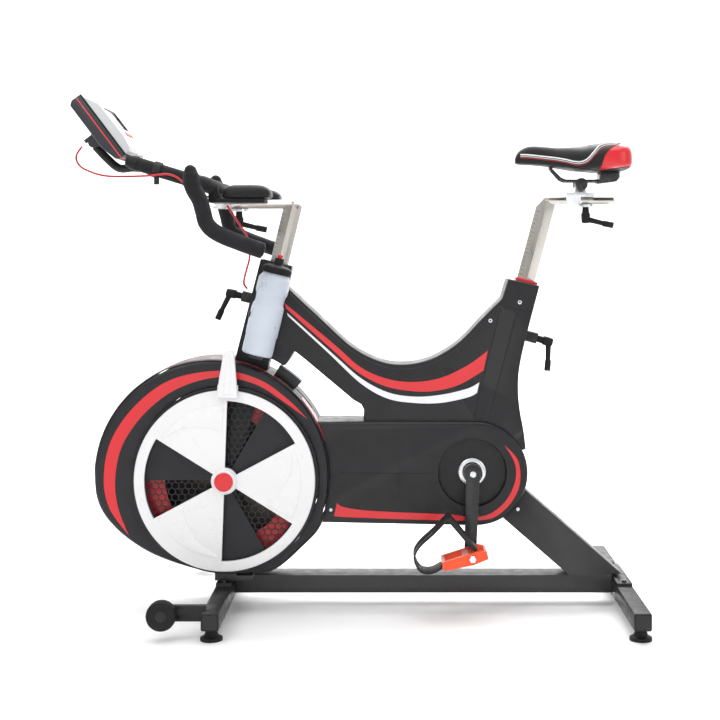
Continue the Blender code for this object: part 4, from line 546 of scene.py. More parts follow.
def make_housing(word, side):
    shell = rounded_slab("housing_" + word, drum_outline(), (side * GAP / 2, side * DRUM_HALF), 0.013,
                         "housing_grey", 7)
    hollow = prism("hollow", inset(drum_outline(), WALL), mirrored((-0.01, DRUM_HALF - WALL), side))
    opening = rod("opening", (FLY_X, side * 0.06, FLY_Z), (FLY_X, side * 0.12, FLY_Z), 0.2113, sides=128)
    trough = rod("trough", (FLY_X, side * (DRUM_HALF - 0.0026), FLY_Z),
                 (FLY_X, side * (DRUM_HALF + 0.0010), FLY_Z),
                 0.2120, sides=128, end_radius=0.2290)
    foot = block("foot", (FLY_X - 0.030, FLY_X + 0.065), (-0.0788, 0.0788), (0.06, 0.13))
    stem = block("stem", (FLY_X + 0.0497, FLY_X + 0.0803), (-0.0178, 0.0178), (0.51, 0.62))
    slot = prism("slot", sector(DRUM_X, DRUM_Z, DRUM_RADIUS - 0.02, DRUM_RADIUS + 0.02, 33.5, 58.0),
                 (-0.0065, 0.0065))
    chain = block("chain", (-0.10, -0.035), (0.021, 0.033), (0.240, 0.384))
    cut(shell, hollow, opening, trough, foot, stem, slot, chain)
    settle(applied(shell), "base", "housing_grey", "flywheel_cover_" + word)

    outer = smooth_through([(-0.5041, 0.1743), (-0.5480, 0.2360), (-0.5610, 0.3055), (-0.5440, 0.3900),
                            (-0.4900, 0.4680), (-0.4080, 0.5270), (-0.2961, 0.5469), (-0.2100, 0.5270),
                            (-0.1450, 0.4820),
                            (-0.1015, 0.4383)], 8)
    inner = smooth_through([(-0.5041, 0.1743), (-0.5290, 0.2400), (-0.5348, 0.3055), (-0.5180, 0.3800),
                            (-0.4680, 0.4510), (-0.3950, 0.5060), (-0.3018, 0.5320), (-0.2180, 0.5160),
                            (-0.1540, 0.4760),
                            (-0.1015, 0.4383)], 8)
    decal("housing_crescent_" + word, outer + inner[1:-1][::-1], DRUM_HALF, side, "signal_red")

    bm = bmesh.new()
    crest = circle_points(DRUM_X, DRUM_Z, DRUM_RADIUS + 0.0004, 121.0, 50.0, 60)
    rows = []
    for i, (x, z) in enumerate(crest):
        half = 0.0022 * min(1.0, 8 * i / 60, 8 * (60 - i) / 60) + 0.0002
        rows.append([bm.verts.new((x, side * (0.062 + half * s), z)) for s in (-1, 1)])
    for first, second in zip(rows, rows[1:]):
        bm.faces.new((first[0], first[1], second[1], second[0]))
    line = from_bmesh("housing_crest_line_" + word, bm, "signal_red")
    modify(line, "SOLIDIFY", thickness=0.0006, offset=0.0)
    settle(applied(line), "base", "signal_red")


def make_scale_label():
    """Raised red scale on the crest of the housing, with plain bars that grow towards one end."""
    label = prism("resistance_scale", sector(DRUM_X, DRUM_Z, DRUM_RADIUS, DRUM_RADIUS + 0.0012, 18.0, 41.0),
                  (-0.066, -0.022), "signal_red")
    settle(applied(label), "base", "signal_red")
    for i in range(9):
        angle = 39.0 - 2.3 * i
        bar = prism("scale_bar_%d" % i, sector(DRUM_X, DRUM_Z, DRUM_RADIUS + 0.0010, DRUM_RADIUS + 0.0016,
                                               angle, angle + 0.55, 3),
                    (-0.062, -0.056 + 0.0030 * i), "band_white")
        settle(applied(bar), "base", "band_white")


def honeycomb(name, side, start, end):
    """Hexagonal mesh that closes one open sector of the grille."""
    pitch, wall = 0.0150, 0.0022
    bm = bmesh.new()
    y_low, y_high = mirrored((0.0900, 0.0918), side)
    rows = int(0.2 / (pitch * 0.866)) + 1
    for row in range(-rows, rows + 1):
        for column in range(-rows, rows + 1):
            x = pitch * (column + 0.5 * (row % 2))
            z = pitch * 0.866 * row
            angle = degrees(atan2(z, x)) % 360
            if not 0.024 < hypot(x, z) < 0.188 or not start - 14 < angle < end + 14:
                continue
            shape = []
            for radius in (pitch * 0.5774, pitch * 0.5774 - wall / 1.732):
                corners = [(FLY_X + x + radius * sin(radians(60 * k)),
                            FLY_Z + z + radius * cos(radians(60 * k)))
                           for k in range(6)]
                for y in (y_low, y_high):
                    shape.append([bm.verts.new((corner_x, y, corner_z)) for corner_x, corner_z in corners])
            for a, b in ((0, 1), (1, 3), (3, 2), (2, 0)):
                for k in range(6):
                    bm.faces.new((shape[a][k], shape[a][(k + 1) % 6], shape[b][(k + 1) % 6], shape[b][k]))
    bmesh.ops.remove_doubles(bm, verts=bm.verts, dist=0.00002)
    piece = from_bmesh(name, bm, "grille_black")
    keep = prism("keep", sector(FLY_X, FLY_Z, 0.0318, 0.1782, start - 0.2, end + 0.2),
                 mirrored((0.080, 0.100), side))
    combine(piece, [keep], "INTERSECT")
    settle(applied(piece), "base", "grille_black")


def make_grille(word, side):
    profile = [(0.0, 0.0935), (0.2095, 0.0935), (0.2102, 0.0928), (0.2102, 0.082), (0.2062, 0.082),
               (0.2062, 0.0895),
               (0.0, 0.0895)]
    if side < 0:
        profile = [(0.0, 0.118), (0.0117, 0.118), (0.0117, 0.0935)] + profile[1:]
    plate = turned("grille_plate_" + word, profile, 128, "grille_black", (FLY_X, 0.0, FLY_Z), to_side(side))
    windows = [prism("window", sector(FLY_X, FLY_Z, 0.032, 0.178, a, a + 58.0),
                     mirrored((0.07, 0.11), side))
               for a in (60.0, 180.0, 300.0)]
    cut(plate, *windows)
    settle(applied(plate), "base", "grille_black", "grille_" + word)
    for i, start in enumerate((60.0, 180.0, 300.0)):
        honeycomb("grille_mesh_%s_%d" % (word, i), side, start, start + 58.0)


for word, side in SIDES:
    make_housing(word, side)
    make_grille(word, side)
make_scale_label()


def lever_shape(points):
    lean = radians(2.3)
    return [(FLY_X + x * cos(lean) + z * sin(lean), FLY_Z + z * cos(lean) - x * sin(lean)) for x,
            z in points]


def make_damper():
    profile = [(0.0121, 0.120), (0.0245, 0.120), (0.027, 0.1175), (0.0275, 0.1095), (0.029, 0.108),
               (0.1985, 0.108), (0.2020, 0.1070), (0.2036, 0.1045), (0.2036, 0.101), (0.2026, 0.100),
               (0.027, 0.100), (0.027, 0.0938),
               (0.0121, 0.0938), (0.0121, 0.120)]
    disc = turned("damper_shown", profile, 160, "disc_white", (FLY_X, 0.0, FLY_Z), to_side(-1))
    for start in (28.0, 148.0, 268.0):
        cut(disc, prism("window", sector(FLY_X, FLY_Z, 0.030, 0.180, start, start + 60.0), (-0.13, -0.09)))
    settle(applied(disc, 30.0), "damper", "disc_white", "damper_disc")
    for i, start in enumerate((88.0, 208.0, 328.0)):
        swoosh = circle_points(FLY_X, FLY_Z, 0.172, start + 3.0, start + 57.0, 20)
        inner = smooth_through([(FLY_X + r * cos(radians(start + a)), FLY_Z + r * sin(radians(start + a)))
                                for r, a in ((0.166, 56.0), (0.150, 40.0), (0.128, 22.0), (0.110, 4.0))], 6)
        relief = rounded_slab("damper_relief_%d" % i, swoosh + inner, (-0.1078, -0.1092), 0.0008,
                              "disc_white", 3)
        settle(applied(relief, 30.0), "damper", "disc_white")
    bar = rounded_slab("damper_lever", lever_shape([
        (-0.0245, 0.1876), (0.0245, 0.1876), (0.0125, 0.285), (0.0105, 0.2915), (0.006, 0.2948),
        (-0.006, 0.2948),
        (-0.0105, 0.2915), (-0.0125, 0.285)]), (-0.1145, -0.1235), 0.0035, "disc_white")
    bridge = prism("bridge", lever_shape([(-0.0235, 0.1881), (0.0235, 0.1881), (0.0225, 0.216),
                                          (-0.0225, 0.216)]),
                   (-0.118, -0.1045))
    join(bar, bridge)
    settle(applied(bar, 30.0), "damper", "disc_white")
    ridge = rounded_slab("damper_lever_ridge", lever_shape([(-0.0075, 0.196), (0.0075, 0.196),
                                                            (0.0040, 0.284), (-0.0040, 0.284)]),
                         (-0.1230, -0.12495), 0.0012, "disc_white")
    settle(applied(ridge, 30.0), "damper", "disc_white")
    cap = turned("damper_cap_shown", [(0.0, 0.1245), (0.010, 0.1249), (0.0165, 0.1249), (0.0195, 0.1240),
                                      (0.021, 0.1224),
                                      (0.021, 0.1203), (0.0, 0.1203)], 64, "signal_red",
                                      (FLY_X, 0.0, FLY_Z), to_side(-1))
    settle(applied(cap, 40.0), "damper", "signal_red", "damper_cap")


def make_fan():
    """Ring that ties the fan blades together, seen through the mesh."""
    ring = turned("fan_ring", [(0.140, -0.0625), (0.186, -0.0625), (0.186, -0.0655), (0.140, -0.0655),
                               (0.140, -0.0625)],
                  96, "signal_red", (FLY_X, 0.0, FLY_Z), to_side(1))
    settle(applied(ring), "wheel", "signal_red")
    refine("flywheel", 0.0005, 1, "chain_steel", 40.0)


make_damper()
make_fan()


# ---------------------------------------------------------------- drive and body covers
def drive_outline():
    end = circle_points(DRIVE_X, DRIVE_Z, DRIVE_RADIUS, -90, 90, 64)
    return end + [(-0.12, DRIVE_Z + DRIVE_RADIUS), (-0.12, DRIVE_Z - DRIVE_RADIUS + 0.008)]


def make_drive_cover(word, side):
    shell = rounded_slab("drive_shown_" + word, drive_outline(), (side * GAP / 2, side * DRIVE_HALF),
                         0.009, "cover_black", 6)
    hollow = prism("hollow", inset(drive_outline(), WALL), mirrored((-0.01, DRIVE_HALF - WALL), side))
    cut(shell, hollow, prism("drum", drum_outline(GAP), (-0.1, 0.1)))
    dish = rod("dish", (CRANK_X, side * 0.0441, CRANK_Z), (CRANK_X, side * 0.0603, CRANK_Z), 0.0803,
               sides=90)
    join(shell, dish)
    recess = rod("recess", (CRANK_X, side * 0.047, CRANK_Z), (CRANK_X, side * 0.066, CRANK_Z), 0.0765,
                 sides=96,
                 end_radius=0.0790)
    axle = rod("axle", (CRANK_X, -0.1, CRANK_Z), (CRANK_X, 0.1, CRANK_Z), 0.019)
    opening = block("opening", (0.040, 0.352), (-0.0255, 0.0255), (0.36, 0.46))
    lean = radians(41.0)

    def strut(along, above):
        return (CRANK_X + along * cos(lean) + above * sin(lean),
                CRANK_Z - along * sin(lean) + above * cos(lean))

    beam = prism("beam", [strut(0.060, -0.0349), strut(0.30, -0.0349), strut(0.30, 0.0473),
                          strut(0.060, 0.0473)],
                 (-0.0333, 0.0333))
    chain = block("chain", (-0.10, -0.035), (0.021, 0.033), (0.240, 0.384))
    upright = block("groove", (0.1053, 0.1067), mirrored((DRIVE_HALF - 0.0012, 0.07), side), (0.242, 0.404))
    across = block("groove", (-0.029, 0.179), mirrored((DRIVE_HALF - 0.0012, 0.07), side), (0.3113, 0.3127))
    cut(shell, recess, axle, opening, beam, chain, upright, across)
    settle(applied(shell), "base", "cover_black", "drive_cover_" + word)

    stripe = band([(-0.0356, 0.2439), (-0.0200, 0.2345), (0.0300, 0.2270), (0.1002, 0.2230),
                   (0.2219, 0.2177), (0.2700, 0.2120), (0.3120, 0.2190), (0.3480, 0.2480),
                   (0.3680, 0.2860), (0.3720, 0.3180),
                   (0.3652, 0.3440), (0.3459, 0.3758)],
                  [(-0.0443, 0.2143), (-0.0200, 0.2120), (0.0300, 0.2100), (0.1002, 0.2073),
                   (0.2396, 0.2039), (0.2850, 0.2042), (0.3240, 0.2120), (0.3590, 0.2420),
                   (0.3790, 0.2800), (0.3815, 0.3180),
                   (0.3730, 0.3470), (0.3459, 0.3758)])
    decal("drive_stripe_" + word, stripe[:-1], DRIVE_HALF, side, "signal_red")
    bearing = turned("bearing_" + word, [(0.0225, 0.0474), (0.0225, 0.0515), (0.0290, 0.0515),
                                         (0.0310, 0.0500), (0.0310, 0.0474),
                                         (0.0225, 0.0474)], 64, "zinc_plate", (CRANK_X, 0.0, CRANK_Z),
                                         to_side(side))
    settle(applied(bearing), "base", "zinc_plate")
    for i, (x, z) in enumerate(((-0.0495, 0.2282), (0.3766, 0.2291))):
        screw(word + "_drive_%d" % i, x, z, DRIVE_HALF - (0.0 if i != 1 else 0.0030), side)


def screw(name, x, z, face, side, radius=0.0042, body="base"):
    """Dome-headed screw with a hexagonal socket."""
    head = turned("screw_" + name, [(0.0, 0.0022), (radius * 0.6, 0.0021), (radius * 0.92, 0.0014),
                                    (radius, 0.0004),
                                    (radius, -0.0010), (0.0, -0.0010)], 24, "zinc_plate",
                                    (x, side * face, z), to_side(side))
    socket = rod("socket", (x, side * (face + 0.0008), z), (x, side * (face + 0.004), z), radius * 0.5,
                 sides=6)
    cut(head, socket)
    settle(applied(head), body, "zinc_plate")


def body_outline():
    top = smooth_through([(-0.1511, 0.7355), (-0.075, 0.6645), (-0.0029, 0.5990), (0.0625, 0.5655),
                          (0.1196, 0.5582),
                          (0.1808, 0.5712), (0.2421, 0.6080), (0.2951, 0.6621), (0.3419, 0.7088)], 8)
    rear = smooth_through([(0.4276, 0.7374), (0.4032, 0.6455), (0.3880, 0.5850), (0.3795, 0.5350),
                           (0.3787, 0.4906),
                           (0.3829, 0.4497), (0.3911, 0.4049), (0.3960, 0.3640)], 5)
    lower = [(0.300, 0.330), (0.060, 0.330), (0.0246, 0.4300), (0.0257, 0.4538), (0.0198, 0.4662),
             (0.0017, 0.4767),
             (-0.1128, 0.5726), (-0.1334, 0.5884), (-0.1450, 0.5680), (-0.1540, 0.5560), (-0.1945, 0.5560)]
    return top + [(0.3560, 0.7536)] + rear + lower


def leaned(origin, lean, *pieces):
    for piece in pieces:
        piece.data.transform(Matrix.Translation(origin) @ Matrix.Rotation(lean, 4, "Y"))
    return pieces


def make_body_cover(word, side):
    shell = rounded_slab("body_shown_" + word, body_outline(), (side * GAP / 2, side * BODY_HALF), 0.0040,
                         "cover_black", 5)
    hollow = prism("hollow", inset(body_outline(), WALL), mirrored((-0.01, BODY_HALF - WALL), side))
    drive = prism("drive", inset(drive_outline(), -GAP), (-0.1, 0.1))
    head, window = leaned(HEAD_TOP, HEAD_LEAN, block("head", (-0.10, 0.033), (-0.1, 0.1), (-0.30, 0.02)),
                          block("window", (0.0, 0.06), (-0.0205, 0.0205), (-0.185, -0.075)))
    mast, boss = leaned(SEAT_TOP, SEAT_LEAN, block("mast", (-0.026, 0.026), (-0.026, 0.026),
                                                   (-0.012, 0.04)),
                        rod("boss", (0.0, 0, -0.1195), (0.08, 0, -0.1195), 0.0133))
    drum = prism("drum", drum_outline(0.030), (-0.1, 0.1))
    tools = [hollow, drive, head, window, mast, boss, drum]
    face = mirrored((BODY_HALF - 0.0013, 0.06), side)
    for (x0, z0), (x1, z1), wide in (((0.3746, 0.6760), (0.3134, 0.4456), 0.0016),
                                     ((0.3419, 0.7029), (0.2768, 0.4376), 0.0020),
                                     ((0.3440, 0.6896), (0.4052, 0.6762), 0.0012)):
        run = Vector((x1 - x0, z1 - z0)).normalized() * wide / 2
        tools.append(prism("groove", [(x0 - run.y, z0 + run.x), (x0 + run.y, z0 - run.x),
                                      (x1 + run.y, z1 - run.x),
                                      (x1 - run.y, z1 + run.x)], face))
    cut(shell, *tools)
    settle(applied(shell), "base", "cover_black", "body_cover_" + word)

    red = band([(-0.1560, 0.6985), (-0.0435, 0.6049), (0.0177, 0.5518), (0.0787, 0.5251), (0.1399, 0.5178),
                (0.2012, 0.5272),
                (0.2624, 0.5557), (0.3090, 0.5895)],
               [(-0.1530, 0.6864), (-0.0477, 0.5925), (0.0095, 0.5416), (0.0666, 0.5109), (0.1196, 0.4986),
                (0.1808, 0.4965),
                (0.2421, 0.5109), (0.2990, 0.5440)])
    decal("body_band_red_" + word, red, BODY_HALF, side, "signal_red")
    white = band([(-0.1500, 0.6760), (-0.0435, 0.5804), (0.0177, 0.5272), (0.0787, 0.4947),
                  (0.1399, 0.4844), (0.2012, 0.4885),
                  (0.2624, 0.5027), (0.2895, 0.5171)],
                 [(-0.1480, 0.6690), (-0.0559, 0.5843), (0.0177, 0.5151), (0.0787, 0.4803),
                  (0.1399, 0.4700), (0.2012, 0.4700),
                  (0.2624, 0.4824), (0.2840, 0.4927)])
    decal("body_band_white_" + word, white, BODY_HALF, side, "band_white")
    # Painted shading: a flat strip of duller black along the line where the wider bevel would meet the
    # face. It stands in for the light change at that crease, because the cover has only a small rounding
    # there.
    crest = band([(-0.1440, 0.7225), (-0.0750, 0.6560), (-0.0029, 0.5904), (0.0625, 0.5565),
                  (0.1196, 0.5480), (0.1808, 0.5610),
                  (0.2421, 0.5975), (0.2951, 0.6510), (0.3360, 0.6920)],
                 [(-0.1450, 0.7190), (-0.0760, 0.6530), (-0.0035, 0.5884), (0.0625, 0.5545),
                  (0.1196, 0.5460), (0.1808, 0.5590),
                  (0.2421, 0.5950), (0.2951, 0.6485), (0.3350, 0.6880)])
    decal("body_crease_" + word, crest, BODY_HALF, side, "grille_black")
    for i, (x, z) in enumerate(((0.3819, 0.6999), (0.3148, 0.6579))):
        screw(word + "_body_%d" % i, x, z, BODY_HALF - 0.0012, side, 0.0048)


for word, side in SIDES:
    make_drive_cover(word, side)
    make_body_cover(word, side)
refine("head_cover", 0.0025, 3)
refine("seat_collar", 0.0008, 2, "signal_red")
refine("brake_slider", 0.0022, 3, "monitor_grey")


# ---------------------------------------------------------------- base, masts, cranks and small hardware
for node, width in (("front_stabiliser", 0.0006), ("rear_stabiliser", 0.0006), ("base_frame", 0.0022),
                    ("main_frame", 0.0008),
                    ("crank_left", 0.0020), ("crank_right", 0.0020), ("crank_axle", 0.0006),
                    ("jack_shaft", 0.0004),
                    ("primary_chain", 0.0004), ("secondary_chain", 0.0004), ("head_lever", 0.0008),
                    ("seat_lever", 0.0008),
                    ("handlebar_lever", 0.0008), ("saddle_lever", 0.0008), ("monitor_arm", 0.0004),
                    ("bottle_cage", 0.0010),
                    ("saddle_frame", 0.0007), ("monitor_case", 0.0007), ("monitor_front", 0.0009),
                    ("foot_front_left", 0.0010), ("foot_front_right", 0.0010), ("foot_rear_left", 0.0010),
                    ("foot_rear_right", 0.0010), ("wheel_left", 0.0010), ("wheel_right", 0.0010),
                    ("pedal_left", 0.0014), ("pedal_right", 0.0014), ("toe_clip_left", 0.0006),
                    ("toe_clip_right", 0.0006),
                    ("monitor_button_1", 0.0012), ("monitor_button_2", 0.0012),
                    ("monitor_button_3", 0.0012)):
    refine(node, width)
refine("handlebar_post", 0.0010, 3)
refine("seat_post", 0.0010, 3)
refine("handlebar_carriage", 0.0012, 2)
refine("saddle_carriage", 0.0012, 2)


def post_marks(name, body, origin, lean, start, count):
    """Graduation on the two outer faces of a mast: short lines and longer ones every fifth."""
    for side in (-1, 1):
        bm = bmesh.new()
        for i in range(count):
            height = start + 0.010 * i
            reach = 0.0070 if i % 5 == 0 else 0.0042
            for near, far in ((0.0035, 0.0035 + reach),):
                corners = []
                for along in (near, far):
                    for up in (-0.0004, 0.0004):
                        x, y = -0.0213 + along, side * along
                        corners.append((x - 0.0003, y + side * 0.0003, height + up))
                bm.faces.new([bm.verts.new(corners[k]) for k in (0, 1, 3, 2)])
        piece = from_bmesh("%s_marks_%s" % (name, "left" if side < 0 else "right"), bm, "mark_dark")
        leaned(origin, lean, piece)
        modify(piece, "SOLIDIFY", thickness=0.0003, offset=0.0)
        settle(applied(piece), body, "mark_dark")


post_marks("bar_post", "bar_mast", HEAD_TOP, HEAD_LEAN, 0.012, 11)
post_marks("seat_post", "seat_mast", SEAT_TOP, SEAT_LEAN, 0.016, 16)


def axle_details():
    for word, side in SIDES:
        bolt = turned("crank_bolt_" + word, [(0.0, 0.0895), (0.0055, 0.0895), (0.0070, 0.0885),
                                             (0.0070, 0.0740), (0.0, 0.0740)],
                      32, "zinc_plate", (CRANK_X, 0.0, CRANK_Z), to_side(side))
        settle(applied(bolt), "cranks", "zinc_plate")
        x, z = CRANK_X + side * 0.170 * sin(radians(2.0)), CRANK_Z + side * 0.170 * cos(radians(2.0))
        nut = turned("pedal_nut_" + word, [(0.0, 0.1873), (0.0070, 0.1873), (0.0082, 0.1862),
                                           (0.0082, 0.1844), (0.0, 0.1844)],
                     6, "zinc_plate", (x, 0.0, z), to_side(side))
        settle(applied(nut), "left_pedal" if side < 0 else "right_pedal", "zinc_plate")
        cap = turned("wheel_cap_" + word, [(0.0, 0.3275), (0.010, 0.3275), (0.013, 0.3260),
                                           (0.013, 0.3215), (0.0, 0.3215)], 40,
                     "housing_grey", (-0.392, 0.0, 0.055), to_side(side))
        settle(applied(cap), "base", "housing_grey")
        for end, x in (("front", -0.289), ("rear", 0.6135)):
            plug = bevel(block("end_cap_%s_%s" % (end, word), (x - 0.0175, x + 0.0175),
                               mirrored((0.3285, 0.3298), side),
                               (0.0265, 0.0615), "black_rubber"), 0.0006, 2)
            settle(applied(plug), "base", "black_rubber")


axle_details()


# ---------------------------------------------------------------- handlebar, pads and extensions
def make_foam_bar():
    """Foam-covered bar: crossbar, drops and hoods melted into one skin."""
    half = BAR_HALF
    turn = smooth_through([
        (BAR_X - 0.036, -half + 0.006, BAR_Z + 0.009), (BAR_X - 0.020, -half + 0.025, BAR_Z + 0.008),
        (BAR_X - 0.005, -half + 0.062, BAR_Z + 0.002), (BAR_X, -0.110, BAR_Z)], 6) + [(BAR_X, 0.0, BAR_Z)]
    lines = [tube("foam", turn + [(x, -y, z) for x, y, z in turn[-2::-1]], BAR_RADIUS, None, 32)]
    for side in (-1, 1):
        y = side * half
        drop = smooth_through([(-0.1865, y, 0.8165), (-0.2350, y, 0.8335), (-0.2860, y, 0.8545),
                               (-0.3110, y, 0.8760),
                               (-0.3190, y, 0.9030), (-0.3270, y, 0.9290), (-0.3420, y, 0.9560),
                               (-0.3460, y, 0.9850)], 6)
        lines.append(tube("foam", drop, BAR_RADIUS + 0.0008, None, 32))
        lines.append(rod("foam", (-0.3445, y, 0.962), (-0.3470, y, 0.9990), 0.0205, end_radius=0.0125))
        bm = bmesh.new()
        bmesh.ops.create_uvsphere(bm, u_segments=24, v_segments=16, radius=0.0125)
        bmesh.ops.transform(bm, matrix=Matrix.Translation((-0.3470, y, 0.9925)), verts=bm.verts)
        lines.append(from_bmesh("foam", bm))
    bm = bmesh.new()
    for line in lines:
        bm.from_mesh(line.data)
        bpy.data.objects.remove(line, do_unlink=True)
    bar = from_bmesh("handlebar_foam", bm, "grip_foam")
    modify(bar, "REMESH", mode="VOXEL", voxel_size=0.0026)
    modify(bar, "SMOOTH", factor=0.6, iterations=6)
    applied(bar, 180.0)
    settle(bar, "bars", "grip_foam", "handlebar")
    for word, side in SIDES:
        low, high = mirrored((0.084, 0.166), side)
        base = bevel(block("pad_base_" + word, (BAR_X - 0.010, -0.190), (low, high), (0.9236, 0.9336),
                           "black_rubber"), 0.003, 3)
        riser = block("riser", (BAR_X - 0.009, BAR_X + 0.012), (low + 0.001, high - 0.001), (0.9246, BAR_Z))
        join(base, riser)
        settle(applied(base), "bars", "black_rubber", "handlebar")
        cap = turned("bar_end_" + word, [(0.0, 0.0015), (0.010, 0.0012), (0.0125, -0.0010),
                                         (0.0125, -0.006), (0.0, -0.006)], 32,
                     "black_rubber")
        run = Vector((0.0485, 0.0, -0.0170)).normalized()
        aim(cap, (-0.1872, side * half, 0.8168), run)
        settle(applied(cap), "bars", "black_rubber")


def make_armrest(word, side):
    """Moulded pad: crowned top, rounded ends and a sewn welt round its lower edge."""
    x0, x1 = BAR_X + BAR_RADIUS + 0.0015, -0.1770
    y0, y1 = mirrored((0.080, 0.170), side)
    z0, z1 = 0.9339, 0.9669
    cx, cy, hx, hy = (x0 + x1) / 2, (y0 + y1) / 2, (x1 - x0) / 2, (y1 - y0) / 2
    bm = bmesh.new()
    levels = [(0.0, 0.90), (0.04, 0.965), (0.14, 0.995), (0.30, 1.0), (0.50, 0.985), (0.68, 0.93),
              (0.84, 0.82), (0.94, 0.66),
              (0.985, 0.42), (1.0, 0.18)]
    rings = []
    count = 56
    for height, width in levels:
        ring = []
        for i in range(count):
            a = 2 * pi * i / count
            ex = abs(cos(a)) ** 0.42 * (1 if cos(a) >= 0 else -1)
            ey = abs(sin(a)) ** 0.42 * (1 if sin(a) >= 0 else -1)
            dip = 0.0022 * (1 - (ey * width) ** 2) * (height > 0.6)
            ring.append(bm.verts.new((cx + hx * width * ex, cy + hy * width * ey,
                                      z0 + (z1 - z0) * height - dip)))
        rings.append(ring)
    for first, second in zip(rings, rings[1:]):
        for i in range(count):
            bm.faces.new((first[i], first[(i + 1) % count], second[(i + 1) % count], second[i]))
    bm.faces.new(rings[0][::-1])
    bm.faces.new(rings[-1])
    pad = from_bmesh("armrest_pad_" + word, bm, "saddle_vinyl")
    modify(pad, "SUBSURF", levels=2, render_levels=2)
    applied(pad, 180.0)
    settle(pad, "bars", "saddle_vinyl", "armrest_" + word)
    welt_path = []
    for i in range(72):
        a = 2 * pi * i / 72
        ex = abs(cos(a)) ** 0.42 * (1 if cos(a) >= 0 else -1)
        ey = abs(sin(a)) ** 0.42 * (1 if sin(a) >= 0 else -1)
        welt_path.append((cx + hx * 0.993 * ex, cy + hy * 0.993 * ey, z0 + 0.0055))
    welt = closed_tube("armrest_welt_" + word, welt_path, 0.0009, "saddle_vinyl")
    settle(applied(welt, 180.0), "bars", "saddle_vinyl")


def closed_tube(name, points, radius, material):
    path = [Vector(p) for p in points]
    bm = bmesh.new()
    rings = []
    for i, point in enumerate(path):
        run = (path[(i + 1) % len(path)] - path[i - 1]).normalized()
        side = run.cross(Vector((0, 0, 1))).normalized()
        up = side.cross(run).normalized()
        rings.append([bm.verts.new(point + (side * cos(a) + up * sin(a)) * radius) for a in
                      [2 * pi * k / 10 for k in range(10)]])
    for i, first in enumerate(rings):
        second = rings[(i + 1) % len(rings)]
        for k in range(10):
            bm.faces.new((first[k], first[(k + 1) % 10], second[(k + 1) % 10], second[k]))
    return from_bmesh(name, bm, material)


def aero_z(x):
    return BAR_Z + 0.0010 - (x - BAR_X) * 0.3075


def make_aero(word, side):
    y = side * AERO_Y
    path = [(x, y, aero_z(x)) for x in (-0.3225, -0.34, -0.36, -0.40, -0.44, -0.48, -0.490)]
    bar = tube("aero_shown_" + word, path, AERO_RADIUS, "grip_foam", 40)
    settle(applied(bar, 50.0), "bars", "grip_foam", "aero_bar_" + word)
    run = Vector((-1.0, 0.0, 0.3075)).normalized()
    cap = turned("aero_cap_" + word, [(0.0, 0.0265), (0.0095, 0.0262), (0.0122, 0.0248), (0.0150, 0.0150),
                                      (0.0169, 0.0030),
                                      (0.0169, 0.0), (0.0, 0.0)], 48, "black_rubber")
    aim(cap, (-0.4840, y, aero_z(-0.4840)), run)
    settle(applied(cap), "bars", "black_rubber")
    if side < 0:
        strap = turned("cable_tie", [(0.0160, 0.0), (0.0190, 0.0004), (0.0192, 0.0085), (0.0190, 0.0170),
                                     (0.0160, 0.0174),
                                     (0.0160, 0.0)], 48, "strap_black")
        aim(strap, (-0.4310, y, aero_z(-0.4310)), run)
        settle(applied(strap), "bars", "strap_black")
        tail = bevel(block("cable_tie_tail", (-0.4440, -0.4320), (y - 0.0165, y - 0.0145),
                           (0.9660, 0.9930), "strap_black"),
                     0.0006, 2)
        settle(applied(tail), "bars", "strap_black")


make_foam_bar()
for word, side in SIDES:
    make_armrest(word, side)
    make_aero(word, side)


# ---------------------------------------------------------------- monitor, bottle
def make_monitor_details():
    stripe = bevel(block("monitor_stripe", (-0.0072, -0.0024),
                         (-MONITOR_HALF - 0.0004, MONITOR_HALF + 0.0004),
                         (-0.0852, 0.0860), "signal_red"), 0.0040, 3, 50.0)
    gasket = bevel(block("monitor_gasket", (0.0058, 0.0082),
                         (-MONITOR_HALF - 0.0003, MONITOR_HALF + 0.0003),
                         (-0.0851, 0.0859), "black_rubber"), 0.0010, 2)
    screen = bevel(block("monitor_screen", (0.0256, 0.0266), (-0.0655, 0.0655), (-0.0215, 0.0375),
                         "screen_glass"), 0.0003, 2)
    bezel = block("monitor_bezel", (0.0262, 0.0272), (-0.0655, 0.0655), (-0.0215, 0.0375), "black_rubber")
    cut(bezel, block("bezel_hole", (0.02, 0.03), (-0.0600, 0.0600), (-0.0160, 0.0320)))
    for piece, slot in ((stripe, "signal_red"), (gasket, "black_rubber"), (screen, "screen_glass"),
                        (bezel, "black_rubber")):
        applied(piece)
        leaned(MONITOR, MONITOR_LEAN, piece)
        settle(piece, "monitor", slot)
    for i in (-1, 0, 1):
        ring = turned("button_ring_%d" % (i + 2), [(0.0072, 0.0), (0.0088, 0.0), (0.0088, 0.0010),
                                                   (0.0072, 0.0010), (0.0072, 0.0)],
                      40, "black_rubber")
        ring.data.transform(Matrix.Translation((0.0284, i * 0.028, -0.0385)) @ Matrix.Rotation(pi / 2, 4,
                                                                                               "Y"))
        applied(ring)
        leaned(MONITOR, MONITOR_LEAN, ring)
        settle(ring, "monitor", "black_rubber")


